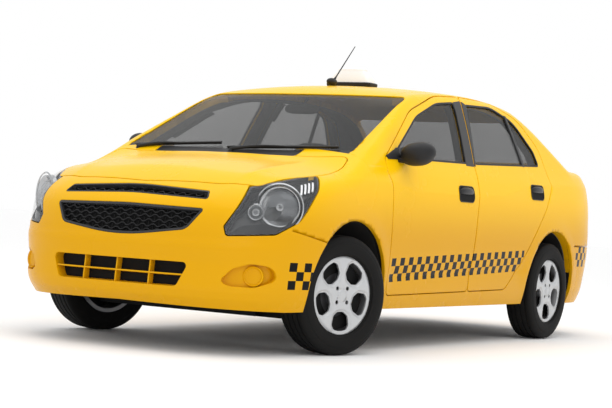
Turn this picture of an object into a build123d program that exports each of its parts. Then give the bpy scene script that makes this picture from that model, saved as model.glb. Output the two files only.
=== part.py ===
from build123d import *
from math import acos, cos, hypot, pi, radians, sin, sqrt, tan
import os

os.makedirs("parts", exist_ok=True)

# A four-door saloon taxi in millimetres. +Z is up, the front faces -Y and the car's left is +X.
# The origin lies on the ground, under the middle of the car's overall box.

# ---- Driving dimensions ----
LENGTH = 4480                # bumper to bumper
HALF_WIDTH = 867.5           # at the door skins
ROOF_Z = 1512                # roof's highest point
WHEELBASE = 2620
FRONT_OVERHANG = 860         # front axle to the front of the bumper
SKIN = 18                    # door flange and outer panel
WALL = 62                    # whole door or side wall
SEAM = 5                     # gap between two panels
FLANGE_GAP = 6               # air between a door's flange and the frame behind it
DOOR_LAP = 20                # how far the frame stands in behind a door's edge
DOOR_INNER = 40              # how far a door's inner box stands in from its edge

TYRE_R = 308
TYRE_HALF_W = 92.5
RIM_R = 196
FLANGE_R = 208               # rim's edge outside the tyre's bead
BEAD_HALF_W = 80
HUB_R = 30
SPOKES = 5
DRIVER_X = 360
WHEEL_X = 765                # tyre's middle plane from the car's middle
KINGPIN_X = 700              # vertical steering axis
PARKED_STEER = -16           # degrees about +Z: the front wheels stand turned to the car's right
ARCH_R = 375
ARCH_Z = 318
LINER_R = 384
LINER_WALL = 6

FRONT_Y = -LENGTH / 2 + FRONT_OVERHANG      # front axle
REAR_Y = FRONT_Y + WHEELBASE                # rear axle
NOSE_Y = -LENGTH / 2
TAIL_Y = LENGTH / 2
SILL_Z = 225
SCREEN_FOOT_Z = 985
SCREEN_BASE_Y = -1432        # windscreen's middle at the foot height
REAR_SCREEN_BASE_Y = 1975
SCUTTLE_Y = -1190             # where the bonnet's crown gives way to the cabin
BUMPER_BROW_Z = 590           # the nose leans back above this
NOSE_LEAN = 0.42              # millimetres back for each one up
BONNET_SLOPE = 10.4           # degrees
BONNET_Z = 1013               # bonnet's middle over the front axle
BONNET_CROWN_R = 3500
LIP_Z = 806                  # bonnet's seam in the middle of the nose
LIP_LEAN = 0.55
SEAM_RISE = 0.44             # how steeply the seam climbs on its way back
LID_WALL = 34                # bonnet or boot lid with its inner frame
BUMPER_WALL = 28
LAMP_DEPTH = 110
PLATE_HALF_W = 262           # seat of a 520 x 112 number plate
PLATE_HALF_H = 58
FRONT_PLATE_Z = 470
REAR_PLATE_Z = 486


# ---- Helpers ----
def grown(rows, grow):
    """The same corners after each side of the outline has moved out by grow."""
    area = sum(a[0] * b[1] - b[0] * a[1] for a, b in zip(rows, rows[1:] + rows[:1]))
    way = 1 if area > 0 else -1
    sides = []
    for a, b in zip(rows, rows[1:] + rows[:1]):
        run = hypot(b[0] - a[0], b[1] - a[1])
        sides.append(((b[0] - a[0]) / run, (b[1] - a[1]) / run))
    moved = []
    for (u, v, r), s, t in zip(rows, sides[-1:] + sides[:-1], sides):
        cross = s[0] * t[1] - s[1] * t[0]
        dot = s[0] * t[0] + s[1] * t[1]
        share = cross / (1 + dot)
        # the corner slides along the old side s and away from it by grow
        moved.append((u + way * grow * (s[1] + s[0] * share), v + way * grow * (-s[0] + s[1] * share),
                      max(r + grow * (1 if cross * way > 0 else -1), 0) if r else 0))
    return moved


def outline(rows, plane=Plane.YZ, grow=0):
    """A closed face from rows of (across, up, corner radius) on a plane, grown or shrunk all round."""
    rows = grown(rows, grow) if grow else rows
    corners = []
    for before, corner, after in zip(rows[-1:] + rows[:-1], rows, rows[1:] + rows[:1]):
        back = (before[0] - corner[0], before[1] - corner[1])
        on = (after[0] - corner[0], after[1] - corner[1])
        back_run, on_run = hypot(*back), hypot(*on)
        turn = pi - acos(max(-1, min(1, (back[0] * on[0] + back[1] * on[1]) / back_run / on_run)))
        reach = min(corner[2] * tan(turn / 2), 0.49 * back_run, 0.49 * on_run)
        start = (corner[0] + back[0] / back_run * reach, corner[1] + back[1] / back_run * reach)
        end = (corner[0] + on[0] / on_run * reach, corner[1] + on[1] / on_run * reach)
        chord = ((start[0] + end[0]) / 2 - corner[0], (start[1] + end[1]) / 2 - corner[1])
        gap = hypot(*chord)
        if gap < 0.05:
            corners.append((corner[:2], None, corner[:2]))
            continue
        sag = reach / tan(turn / 2) * (1 / cos(turn / 2) - 1)
        corners.append((start, (corner[0] + chord[0] / gap * sag, corner[1] + chord[1] / gap * sag), end))
    edges = []
    for (start, middle, end), after in zip(corners, corners[1:] + corners[:1]):
        if middle:
            edges += ThreePointArc(start, middle, end).edges()
        edges += Line(end, after[0]).edges()
    return plane * make_face(edges)


def side_prism(rows, x_from=575, x_to=1000, grow=0):
    """A side-view outline pushed out along X, on the car's left."""
    return extrude(outline(rows, Plane.YZ.offset(x_from), grow), amount=x_to - x_from, dir=(1, 0, 0))


def box(x0, x1, y0, y1, z0, z1):
    return Pos((x0 + x1) / 2, (y0 + y1) / 2, (z0 + z1) / 2) * Box(x1 - x0, y1 - y0, z1 - z0)


def rod(x, y, z, radius, length, axis):
    """A cylinder centred on a point, along X, Y or Z."""
    turn = {"X": Rot(0, 90, 0), "Y": Rot(90, 0, 0), "Z": Rot(0, 0, 0)}[axis]
    return Pos(x, y, z) * turn * Cylinder(radius, length)


def mirrored(shape):
    return mirror(shape, about=Plane.YZ)


def largest(shape):
    return max(shape.solids(), key=lambda solid: solid.volume)


def write(name, *shapes):
    solids = [solid for shape in shapes for solid in shape.solids()]
    export_step(Compound(label=name, children=solids), "parts/" + name + ".step")
    print(name, len(solids), round(sum(s.volume for s in solids) / 1e6, 2), "litres")


# ---- The body's outer form, drawn as the meeting of three views ----
# Each function takes an inset, so that the same lines also give the inner faces.
def cross_section(inset):
    """Front view: bowed lower side, straight greenhouse side, round roof edge and crowned roof."""
    w = HALF_WIDTH - inset
    bottom = (w - 60, -120)
    sill = (w - 60, 210)
    waist = (w, 660)
    belt = (w - 44, 1035)
    rail = (w - 202, 1420)
    edge = (w - 225, ROOF_Z - 42 - inset)
    crown = (0, ROOF_Z - inset)
    half = [
        Line(bottom, sill),
        ThreePointArc(sill, waist, belt),
        ThreePointArc(belt, (w - 112, 1235), rail),
        Line(rail, edge),
    ]
    other = [mirror(side_line, about=Plane.YZ) for side_line in half]
    top = ThreePointArc(edge, crown, (-edge[0], edge[1]))
    base = Line((-bottom[0], bottom[1]), bottom)
    edges = [e for line in (*half, *other, top, base) for e in line.edges()]
    return Plane.XZ * make_face(edges)


def plan_face(inset):
    """Top view: nearly parallel sides, rounded nose and tail."""
    n, t, w = NOSE_Y + inset, TAIL_Y - inset, HALF_WIDTH + 30 - inset
    half = [(0, n - 6, 5200), (540, n + 62, 700), (w - 150, n + 190, 300), (w, n + 500, 500), (w, 0, 0),
            (w, TAIL_Y - 940, 1500), (w - 70, t - 300, 300), (w - 220, t - 105, 350), (430, t - 4, 1500)]
    other = [(-x, y, r) for x, y, r in half[:0:-1]]
    return outline(half + other, Plane.XY.offset(-150))


def lower_profile(inset):
    """Side view of the car below the windows: bumper, bonnet, belt and boot deck."""
    i = inset
    n, t = NOSE_Y + i, TAIL_Y - i
    rows = [(n + 90, -120, 0), (n + 90, 190, 60), (n - 4, 330, 150), (n - 6, 520, 120), (n + 18, 640, 200),
            (n + 64, 760 - i, 120), (n + 160, 845 - i, 260), (FRONT_Y - 300, 968 - i, 2500),
            (FRONT_Y + 50, 1035 - i, 0), (TAIL_Y - 590, 1140 - i, 0), (TAIL_Y - 220, 1122 - i, 800),
            (t - 75, 1085 - i, 50), (t - 18, 700, 400), (t, 560, 60), (t - 4, 380, 80), (t - 90, 230, 60),
            (t - 90, -120, 0)]
    return outline(rows)


def upper_profile(inset):
    """Side view of the greenhouse: roof, with ends left long for the curved screens, on a base in the lower body."""
    i = inset
    rows = [(-1500, SCREEN_FOOT_Z, 0), (-1500, 1020, 0), (-620, ROOF_Z - 72 - i, 200), (-330, ROOF_Z - 32 - i, 900),
            (370, ROOF_Z + 6 - i, 3500), (960, ROOF_Z - 32 - i, 900), (1190, ROOF_Z - 92 - i, 300), (1800, 1100, 0),
            (1800, SCREEN_FOOT_Z, 0)]
    return outline(rows)


def screen(base_y, bow_r, run, rise, inset):
    """Everything on the cabin's side of a screen that leans inward as it rises and bows outward in plan."""
    way = 1 if run > 0 else -1
    slant = hypot(run, rise)
    foot = Plane.XY.offset(900) * Pos(0, base_y - (SCREEN_FOOT_Z - 900) * run / rise + way * bow_r, 0)
    return extrude(foot * Circle(bow_r - inset * slant / rise), amount=800 * slant / rise, dir=(0, run, rise))


def cabin_form(inset):
    section = extrude(cross_section(inset), amount=2600, both=True)
    upper = extrude(upper_profile(inset), amount=1000, both=True)
    windscreen = screen(SCREEN_BASE_Y, 3300, 828, 408, inset)
    rear_screen = screen(REAR_SCREEN_BASE_Y, 2600, -590, 300, inset)
    return section & upper & windscreen & rear_screen


def hull_form(inset):
    """The car below its windows, with a crowned bonnet and a nose that leans back above the bumper."""
    section = extrude(cross_section(inset), amount=2600, both=True)
    lower = extrude(lower_profile(inset), amount=1000, both=True)
    plan = extrude(plan_face(inset), amount=1800)
    nose = extrude(Pos(0, -NOSE_LEAN * (BUMPER_BROW_Z + 150), 0) * plan_face(inset), amount=1800, dir=(0, NOSE_LEAN, 1))
    slope = radians(BONNET_SLOPE)
    top = BONNET_Z + (SCUTTLE_Y - FRONT_Y) * tan(slope) - inset
    line = Plane(origin=(0, SCUTTLE_Y, top - BONNET_CROWN_R), x_dir=(1, 0, 0), z_dir=(0, -1, 0))
    cap = extrude(line * Circle(BONNET_CROWN_R), amount=1300, dir=(0, -cos(slope), -sin(slope)))
    body = section & lower & plan
    front = body & box(-1000, 1000, -2400, SCUTTLE_Y, -200, 1300) & cap
    front = (front & box(-1000, 1000, -2400, SCUTTLE_Y, -200, BUMPER_BROW_Z)) + (front & nose)
    return front + (body & box(-1000, 1000, SCUTTLE_Y, 2400, -200, 1300))


def body_form(inset):
    return hull_form(inset) + cabin_form(inset)


# ---- Panel outlines ----
# Side view rows are (y, z, corner radius); front view rows are (x, z, radius); top view rows are (x, y, radius).
FRONT_DOOR = [(-970, 302, 40), (-984, 880, 200), (-1022, 960, 60), (-1022, 1030, 60), (-560, 1322, 500),
              (-160, 1440, 900), (186, 1463, 30), (104, 1060, 300), (70, 700, 900), (34, 315, 30)]
REAR_DOOR = [(36, 315, 30), (72, 700, 900), (106, 1060, 300), (188, 1463, 30), (620, 1468, 500),
             (960, 1385, 400), (1165, 1215, 150), (1205, 985, 60), (1090, 825, 500), (730, 455, 300), (560, 322, 120)]
FRONT_WINDOW = [(-925, 1044, 12), (-500, 1292, 500), (-180, 1392, 600), (56, 1416, 12), (68, 1365, 60), (-5, 1062, 12)]
REAR_WINDOW = [(122, 1064, 12), (240, 1417, 12), (600, 1432, 400), (880, 1362, 300), (1066, 1190, 60), (1090, 1102, 20)]
WINDSCREEN = [(-722, 1020, 40), (-612, 1402, 60), (612, 1402, 60), (722, 1020, 40)]
REAR_SCREEN = [(-650, 1140, 60), (-560, 1390, 80), (560, 1390, 80), (650, 1140, 60)]
BONNET_HALF = [(0, FRONT_Y - 755, 0), (430, FRONT_Y - 705, 300), (629, FRONT_Y - 596, 60), (773, FRONT_Y - 243, 900),
               (778, FRONT_Y - 20, 300), (742, FRONT_Y + 114, 45), (560, FRONT_Y + 52, 300),
               (300, FRONT_Y + 8, 500), (0, FRONT_Y - 5, 0)]
LAMP_LENS = [(-138, 632, 8), (0, 835, 20), (375, 925, 20), (352, 832, 100), (252, 676, 200), (115, 602, 60),
             (-129, 586, 12)]
WING_SIDE = [(FRONT_Y - 512, 624, 0), (FRONT_Y - 260, 572, 0), (FRONT_Y - 260, 100, 0), (FRONT_Y + 405, 100, 0),
             (FRONT_Y + 405, 880, 0), (FRONT_Y + 358, 960, 0), (FRONT_Y + 358, 1200, 0), (FRONT_Y + 80, 1200, 0),
             (FRONT_Y - 620, 1000, 0), (FRONT_Y - 620, 660, 0)]
TAIL_LAMP = [(TAIL_Y - 360, 1064, 30), (TAIL_Y + 160, 1064, 0), (TAIL_Y + 160, 832, 0), (TAIL_Y - 275, 832, 40)]
UPPER_GRILLE = [(-446, 752, 8), (-425, 782, 15), (0, 806, 2000), (425, 782, 15), (446, 752, 8), (0, 768, 2000)]
LOWER_GRILLE = [(-455, 712, 12), (0, 722, 2000), (455, 712, 12), (330, 612, 90), (0, 562, 1500), (-330, 612, 90)]
INTAKE = [(-415, 446, 20), (415, 446, 20), (360, 326, 30), (-360, 326, 30)]
GRILLE_IN = 8                # grille mesh behind the bumper's face
GRILLE_T = 8
FRONT_HANDLE = (-88, 880)          # middle of the pull: y, z
REAR_HANDLE = (953, 930)
HANDLE_L = 200
MIRROR_YZ = (-812, 1078)
PANE_GAP = 0.3               # between pieces seated on each other
PLATE_T = 10
RAIL_X = 560                       # seam between roof panel and body side
PILLAR_FOOT_Y = FRONT_Y + 140
SCUTTLE_HALF_W = 597
LID_X = 600                        # half width of the boot lid
LID_Y = 1690
LID_Z = 606
SILL_IN_X = 720
BUMPER_REAR_Y = 1600
BUMPER_TOP = 600
FLOOR_T = 22
FRONT_TUB_X = 470
REAR_TUB_X = 590
DASH_HALF_W = 715


def top_face(half_rows, z, grow=0):
    rows = half_rows + [(-u, v, r) for u, v, r in half_rows[::-1] if u]
    return outline(rows, Plane.XY.offset(z), grow)


def top_prism(half_rows, z_from, z_to, grow=0):
    return extrude(top_face(half_rows, z_from, grow), amount=z_to - z_from)


def end_prism(rows, y_from, y_to, grow=0):
    return extrude(outline(rows, Plane(origin=(0, y_from, 0), x_dir=(1, 0, 0), z_dir=(0, -1, 0)), grow),
                   amount=y_to - y_from, dir=(0, 1, 0))


def lamp_prism(grow=0):
    """The headlamp's outline, pushed through the left front corner at 45 degrees."""
    across = (sqrt(0.5), sqrt(0.5), 0)
    plane = Plane(origin=(0, FRONT_Y, 0), x_dir=across, z_dir=(sqrt(0.5), -sqrt(0.5), 0))
    return extrude(outline(LAMP_LENS, plane, grow), amount=1500)


def arch(y, radius, x_from=450, x_to=1000):
    return rod((x_from + x_to) / 2, y, ARCH_Z, radius, x_to - x_from, "X")


# ---- Body shells ----
outer = body_form(0)
skin_in = body_form(SKIN)
frame_out = body_form(SKIN + FLANGE_GAP)
frame_in = body_form(WALL)
skin_layer = outer - skin_in
frame_layer = frame_out - frame_in
full_layer = outer - frame_in
left_half = box(0, 1000, -2400, 2400, -200, 1700)
pane_layer = cabin_form(5) - cabin_form(10)
hull = hull_form(0)
lid_in = hull_form(LID_WALL)
bumper_in = hull_form(BUMPER_WALL)
lamp_in = hull_form(LAMP_DEPTH)


# ---- Doors ----
def door(rows, window, handle):
    """Outer skin to the seams, inner box set in from them, window cut through, pull handle on the skin."""
    edge = side_prism(rows, grow=-SEAM / 2)
    inner = side_prism(rows, grow=-DOOR_INNER)
    shape = (skin_layer & edge) + (full_layer & inner)
    shape = shape - side_prism(window) - arch(REAR_Y, ARCH_R + SEAM)
    grip_y, grip_z = handle
    grip = box(845, HALF_WIDTH + 18, grip_y - HANDLE_L / 2, grip_y + HANDLE_L / 2, grip_z - 12, grip_z + 12)
    finger_room = box(800, HALF_WIDTH + 6, grip_y - 60, grip_y + 60, grip_z - 20, grip_z + 20)
    return shape + (grip - finger_room) + (grip & outer - frame_in)


def door_mirror():
    """Foot on the door's front window corner, with a rounded housing beyond it."""
    y, z = MIRROR_YZ
    housing = Pos(920, y, z) * Box(170, 150, 125)
    housing = fillet(housing.edges(), 30)
    foot = box(770, 880, y - 60, y + 10, z - 62, z - 30)
    return housing + (foot - outer)


doors = (("front", FRONT_DOOR, FRONT_WINDOW, FRONT_HANDLE), ("rear", REAR_DOOR, REAR_WINDOW, REAR_HANDLE))
turns = (("left", lambda shape: shape), ("right", mirrored))
for row, edge_rows, window_rows, handle_place in doors:
    leaf = door(edge_rows, window_rows, handle_place)
    pane = pane_layer & side_prism(window_rows, grow=-PANE_GAP)
    for side, turn in turns:
        write("door_" + row + "_" + side, turn(largest(leaf)))
        write("window_" + row + "_" + side, turn(pane))
mirror_shape = door_mirror()
for side, turn in turns:
    write("mirror_" + side, turn(mirror_shape))

# ---- Body sides, roof and glass ----
screen_cut = end_prism(WINDSCREEN, -1500, -200)
rear_screen_cut = end_prism(REAR_SCREEN, 900, 2000)
roof_zone = box(-RAIL_X, RAIL_X, -640, 1330, 1330, 1700)
shelf_zone = box(-RAIL_X, RAIL_X, 1330, 1685, 990, 1330)
scuttle_zone = box(-RAIL_X, RAIL_X, FRONT_Y - 20, -640, 900, 1330)
scuttle_zone += box(-SCUTTLE_HALF_W, SCUTTLE_HALF_W, FRONT_Y - 20, PILLAR_FOOT_Y - 3, 900, 1330)
bonnet_cut = top_prism(BONNET_HALF, 700, 1300, SEAM / 2)
lid_gap = box(-LID_X - SEAM, LID_X + SEAM, LID_Y - SEAM, 2400, LID_Z - SEAM, 1300)
pillar_foot = box(RAIL_X, 1000, PILLAR_FOOT_Y, -900, 990, 1500)
side_zone = box(RAIL_X, 1000, -975, 2400, 100, 1700) + pillar_foot
doors_open = side_prism(FRONT_DOOR, grow=-DOOR_LAP) + side_prism(REAR_DOOR, grow=-DOOR_LAP)
doors_skin = side_prism(FRONT_DOOR, grow=SEAM / 2) + side_prism(REAR_DOOR, grow=SEAM / 2)
tail_lamp_prism = side_prism(TAIL_LAMP, 605, 1000)
arches = arch(FRONT_Y, ARCH_R) + arch(REAR_Y, ARCH_R)
side = (full_layer & side_zone) - doors_skin
side += (frame_layer & doors_skin & side_zone) - doors_open
side += box(SILL_IN_X, 806, -975, REAR_Y - LINER_R, SILL_Z, 300)
for cut in (screen_cut, rear_screen_cut, lid_gap, tail_lamp_prism, arches, bonnet_cut,
            box(-1000, 1000, -2400, 2400, -300, SILL_Z), box(0, 1000, BUMPER_REAR_Y, 2400, 0, BUMPER_TOP)):
    side -= cut
for name, turn in turns:
    write("body_side_" + name, turn(side))

write("roof_panel", (full_layer & roof_zone) - screen_cut - rear_screen_cut)
write("rear_shelf", (full_layer & shelf_zone) - rear_screen_cut - lid_gap)
write("scuttle_panel", (full_layer & scuttle_zone) - screen_cut - bonnet_cut)
write("windscreen", pane_layer & end_prism(WINDSCREEN, -1500, -200, -PANE_GAP))
write("rear_window", pane_layer & end_prism(REAR_SCREEN, 900, 1684, -PANE_GAP))

# ---- Lids ----
# the lid's lip leans back below its seam, so that it swings up and forward clear of the bumper
lip_half = [(x, y + LIP_LEAN * SEAM_RISE * (y - BONNET_HALF[0][1]), r) for x, y, r in BONNET_HALF]
lip_face = top_face(lip_half, 700, -SEAM / 2)
lip = extrude(Pos(0, LIP_LEAN * (LIP_Z - 700), 0) * lip_face, amount=600 * sqrt(1 + LIP_LEAN**2), dir=(0, -LIP_LEAN, 1))
lip += box(-1000, 1000, FRONT_Y - 470, FRONT_Y + 380, 700, 1300)
bonnet = (hull - lid_in) & top_prism(BONNET_HALF, 700, 1300, -SEAM / 2) & lip
write("bonnet", bonnet - cabin_form(-SEAM))
tongue = box(380, 460, LID_Y - SEAM + PANE_GAP, LID_Y + 5, 1090, 1134) & hull
write("boot_lid", ((hull - lid_in) & box(-LID_X, LID_X, LID_Y, 2400, LID_Z, 1300)) + tongue + mirrored(tongue))

# ---- Front and rear ends ----
lamp = lamp_prism(-PANE_GAP)
both_lamps = lamp_prism() + mirrored(lamp_prism())
front_arches = arches + mirrored(arches)
wing = (skin_layer & side_prism(WING_SIDE, 600, 1000)) - bonnet_cut - lamp_prism() - arches - pillar_foot - doors_skin - screen_cut
wing -= box(0, 1000, -2400, 2400, -300, SILL_Z)
for name, turn in turns:
    write("front_wing_" + name, turn(largest(wing)))
wings_zone = side_prism(WING_SIDE, 600, 1000)
bumper = (hull - bumper_in) & box(-1000, 1000, -2400, -1640, SILL_Z - 25, 900)
bumper = bumper - wings_zone - mirrored(wings_zone) - both_lamps - front_arches
bumper -= bonnet_cut
mesh_layer = hull_form(GRILLE_IN) - hull_form(GRILLE_IN + GRILLE_T)
meshes = []
for rows in (UPPER_GRILLE, LOWER_GRILLE, INTAKE):
    bumper -= end_prism(rows, -2400, -1900)
    meshes += (mesh_layer & end_prism(rows, -2400, -1900, -PANE_GAP)).solids()
plate_room = PLATE_T + PANE_GAP
front_seat_z = (FRONT_PLATE_Z - PLATE_HALF_H, FRONT_PLATE_Z + PLATE_HALF_H)
write("front_bumper", bumper - box(-PLATE_HALF_W, PLATE_HALF_W, -2400, NOSE_Y + plate_room, *front_seat_z))
write("front_grilles", *meshes)
lamp_solid = largest(((hull - lamp_in) & lamp & left_half) - bonnet_cut)
write("headlamps", lamp_solid, mirrored(lamp_solid))
rear_bumper = ((hull - bumper_in) & box(-1000, 1000, BUMPER_REAR_Y, 2400, SILL_Z - 25, BUMPER_TOP)) - front_arches
rear_bumper -= rod(440, 2150, 230, 34, 400, "Y")
rear_seat_z = (REAR_PLATE_Z - PLATE_HALF_H, REAR_PLATE_Z + PLATE_HALF_H)
rear_bumper -= box(-PLATE_HALF_W, PLATE_HALF_W, TAIL_Y - plate_room, 2400, *rear_seat_z)
write("rear_bumper", rear_bumper - box(-LID_X - 5, LID_X + 5, LID_Y, 2400, LID_Z - SEAM, 800))
tail_lamp = (hull - frame_in) & side_prism(TAIL_LAMP, LID_X + SEAM, 1000, -PANE_GAP)
write("tail_lamps", tail_lamp, mirrored(tail_lamp))

# ---- Underbody: floor, bulkhead, boot floor, rails and wheelhouses ----
floor = [(-1150, 900, 0), (-1150, 600, 80), (-1000, SILL_Z, 80), (560, SILL_Z, 60), (660, 400, 60), (2130, 400, 0),
         (2130, 400 + FLOOR_T, 0), (645, 400 + FLOOR_T, 60), (545, SILL_Z + FLOOR_T, 60), (-985, SILL_Z + FLOOR_T, 80),
         (-1130, 600, 80), (-1130, 900, 0)]
pan = extrude(outline(floor), amount=SILL_IN_X, both=True)


def wheelhouse(y, x_in, room):
    """A tub over a wheel: a curved liner out to the panel, with an inner wall above the axle."""
    tub = arch(y, LINER_R, x_in, 1000) - arch(y, LINER_R - LINER_WALL, x_in + LINER_WALL, 1000)
    return (tub & room & box(0, 1000, y - 500, y + 500, SILL_Z, 900)) - box(0, x_in + 20, y - 270, y + 270, 0, 470)


for y, x_in, room in ((FRONT_Y, FRONT_TUB_X, skin_in), (REAR_Y, REAR_TUB_X, frame_in)):
    hole = arch(y, LINER_R, x_in, 1000)
    tub = wheelhouse(y, x_in, room)
    pan = pan - hole - mirrored(hole) + tub + mirrored(tub)
top_mount = box(KINGPIN_X - 50, KINGPIN_X + 50, FRONT_Y - 45, FRONT_Y + 45, 690, 700)
rail = box(400, 450, -2150, -1080, 330, 430)
for piece in (top_mount, rail):
    pan += piece + mirrored(piece)
seat_in = hull_form(34 + PANE_GAP)
pan += box(-450, 450, -2130, -2070, 330, 430) + box(-450, 450, -2080, -2040, 680, 740)
for x in (-425, 425):
    pan += box(x - 25, x + 25, -2080, -2040, 400, 900)
pan += (seat_in - hull_form(46)) & box(-560, 560, 2000, 2300, 400 + FLOOR_T / 2, 700)
pan += box(-560, 560, 2120, 2170, 400, 400 + FLOOR_T)
write("underbody", pan & seat_in)

# ---- Under the bonnet and below the floor ----
write("engine_block", box(-380, 380, -1860, -1340, 240, 780))
arm = box(300, KINGPIN_X + 16, FRONT_Y - 30, FRONT_Y + 30, 160, 195)
cross = box(-360, 360, FRONT_Y - 110, FRONT_Y + 60, 165, 240)
stay = box(390, 440, FRONT_Y - 60, FRONT_Y, 240, 330)
hanger_arm = box(300, 440, FRONT_Y - 60, FRONT_Y, 200, 240)
write("front_subframe", cross + arm + mirrored(arm) + stay + mirrored(stay) + hanger_arm + mirrored(hanger_arm))
beam = rod(0, REAR_Y - 190, 300, 45, 1080, "X")
arm = box(530, 575, REAR_Y - 480, REAR_Y + 60, 270, 345)
stub = rod((560 + WHEEL_X + 10) / 2, REAR_Y, TYRE_R, HUB_R - 0.4, WHEEL_X + 10 - 560, "X")
spring = rod(500, REAR_Y - 90, 365, 50, 70, "Z") + box(440, 575, REAR_Y - 140, REAR_Y - 40, 300, 332)
bush = rod(552, REAR_Y - 480, 310, 38, 45, "X") + box(530, 575, REAR_Y - 500, REAR_Y - 460, 310, 400)
rear_axle = beam
for piece in (arm, stub, spring, bush):
    rear_axle += piece + mirrored(piece)
write("rear_axle_beam", rear_axle)
write("fuel_tank", fillet(box(-430, 430, 690, 960, 255, 400).edges().filter_by(Axis.X), 30))
pipe = rod(60, 400, 190, 26, 3360, "Y")
for y in (0, 500):
    pipe += box(40, 80, y - 20, y + 20, 205, SILL_Z)
muffler = rod(250, 1900, 262, 92, 460, "X") + box(240, 260, 1880, 1920, 340, 400)
tail_pipe = rod(440, 2060, 230, 24, 260, "Y")
write("exhaust", pipe & box(-200, 200, FRONT_Y + 62, 1960, 0, 500), muffler + tail_pipe)

# ---- Cabin ----
dash_rows = [(-1130, 640, 0), (-1130, 940, 40), (-960, 975, 60), (-790, 945, 60), (-810, 640, 40)]
dash = extrude(outline(dash_rows), amount=DASH_HALF_W, both=True)
write("dashboard", dash)
wheel_place = Pos(DRIVER_X, -560, 930) * Rot(-65, 0, 0)
column = wheel_place * Pos(0, 0, -155) * Cylinder(28, 290)
ring = wheel_place * Torus(178, 15)
spokes = wheel_place * (Box(340, 44, 14) + Cylinder(62, 40) + Pos(0, -85, 0) * Box(44, 170, 14))
write("steering_wheel", largest((ring + spokes + column) - dash))


def seat(x0, x1, y, z_floor, back_h, rest):
    """Cushion, leaning back and headrest in one solid, standing on the floor."""
    cushion = fillet(box(x0, x1, y, y + 520, z_floor + 120, z_floor + 250).edges(), 35)
    base = box(x0 + 50, x1 - 50, y + 60, y + 440, z_floor, z_floor + 130)
    lean = Pos(0, y + 500, z_floor + 180) * Rot(-18, 0, 0)
    back = lean * fillet(box(x0 + 5, x1 - 5, -60, 60, 0, back_h).edges(), 40)
    shape = cushion + base + back
    for x in rest:
        shape += lean * fillet(box(x - 135, x + 135, -45, 45, back_h - 5, back_h + 170).edges(), 35)
    return shape


floor_top = SILL_Z + FLOOR_T
front_seat = seat(110, 610, -520, floor_top, 600, [360])
write("front_seats", front_seat, mirrored(front_seat))
cushion = fillet(box(-580, 580, 470, 950, 400 + FLOOR_T, 540).edges(), 35)
lean = Pos(0, 960, 480) * Rot(-20, 0, 0)
back = lean * fillet(box(-560, 560, -55, 75, -25, 560).edges(), 35)
write("rear_seat", cushion + back)

# ---- Wheels ----
def wheel_solid():
    """Rim with a five-spoked cover, spinning about X, with its outer side at +X."""
    rows = [(-88, 188, 0), (-88, FLANGE_R, 4), (-BEAD_HALF_W, FLANGE_R, 0), (-BEAD_HALF_W, RIM_R, 0),
            (BEAD_HALF_W, RIM_R, 0), (BEAD_HALF_W, FLANGE_R, 0), (88, FLANGE_R, 4), (72, 150, 200), (80, 60, 60),
            (66, 0, 0), (10, 0, 0), (10, 60, 0), (40, 75, 20), (46, 150, 20), (60, 184, 10), (-70, 184, 0)]
    face = outline(rows, Plane.XY)
    shape = revolve(face, Axis.X)
    window = outline([(-18, 78, 10), (-58, 158, 18), (0, 176, 200), (58, 158, 18), (18, 78, 10)], Plane.YZ)
    cutter = extrude(window, amount=120, dir=(1, 0, 0))
    for k in range(SPOKES):
        shape -= Rot(360 / SPOKES * (k + 0.5), 0, 0) * cutter
    return shape - rod(0, 0, 0, HUB_R, 60, "X")


def tyre_solid():
    w, bead, lip = TYRE_HALF_W, BEAD_HALF_W - PANE_GAP, FLANGE_R + 0.4
    half = [(bead, RIM_R, 0), (bead, lip, 0), (w - 2.5, lip, 0), (w, 235, 50), (w - 2.5, 270, 60), (w - 16.5, TYRE_R, 22)]
    rows = [(-x, r, corner) for x, r, corner in half] + half[::-1]
    return revolve(outline(rows, Plane.XY), Axis.X)


def knuckle_solid():
    """Upright inside the wheel with its spindle, a pin below and a strut end above, in place for the left wheel."""
    plate = box(640, 662, FRONT_Y - 45, FRONT_Y + 45, 205, 652)
    spindle = rod((650 + WHEEL_X + 10) / 2, FRONT_Y, TYRE_R, HUB_R - 0.4, WHEEL_X + 10 - 650, "X")
    top = box(640, KINGPIN_X + 24, FRONT_Y - 24, FRONT_Y + 24, 630, 652) + rod(KINGPIN_X, FRONT_Y, 670, 22, 39, "Z")
    foot = box(640, KINGPIN_X + 18, FRONT_Y - 20, FRONT_Y + 20, 205, 228)
    pin = rod(KINGPIN_X, FRONT_Y, 201, 15, 11, "Z")
    return plate + spindle + top + foot + pin


wheel = wheel_solid()
tyre = tyre_solid()
knuckle = knuckle_solid()
at_front = Pos(WHEEL_X, FRONT_Y, TYRE_R)
at_rear = Pos(WHEEL_X, REAR_Y, TYRE_R)
for name, turn in turns:
    way = 1 if name == "left" else -1
    steered = Pos(way * KINGPIN_X, FRONT_Y, 0) * Rot(0, 0, PARKED_STEER) * Pos(-way * KINGPIN_X, -FRONT_Y, 0)
    write("knuckle_" + name, steered * turn(knuckle))
    write("wheel_front_" + name, steered * turn(at_front * wheel))
    write("tyre_front_" + name, steered * turn(at_front * tyre))
    write("wheel_rear_" + name, turn(at_rear * wheel))
    write("tyre_rear_" + name, turn(at_rear * tyre))

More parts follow.
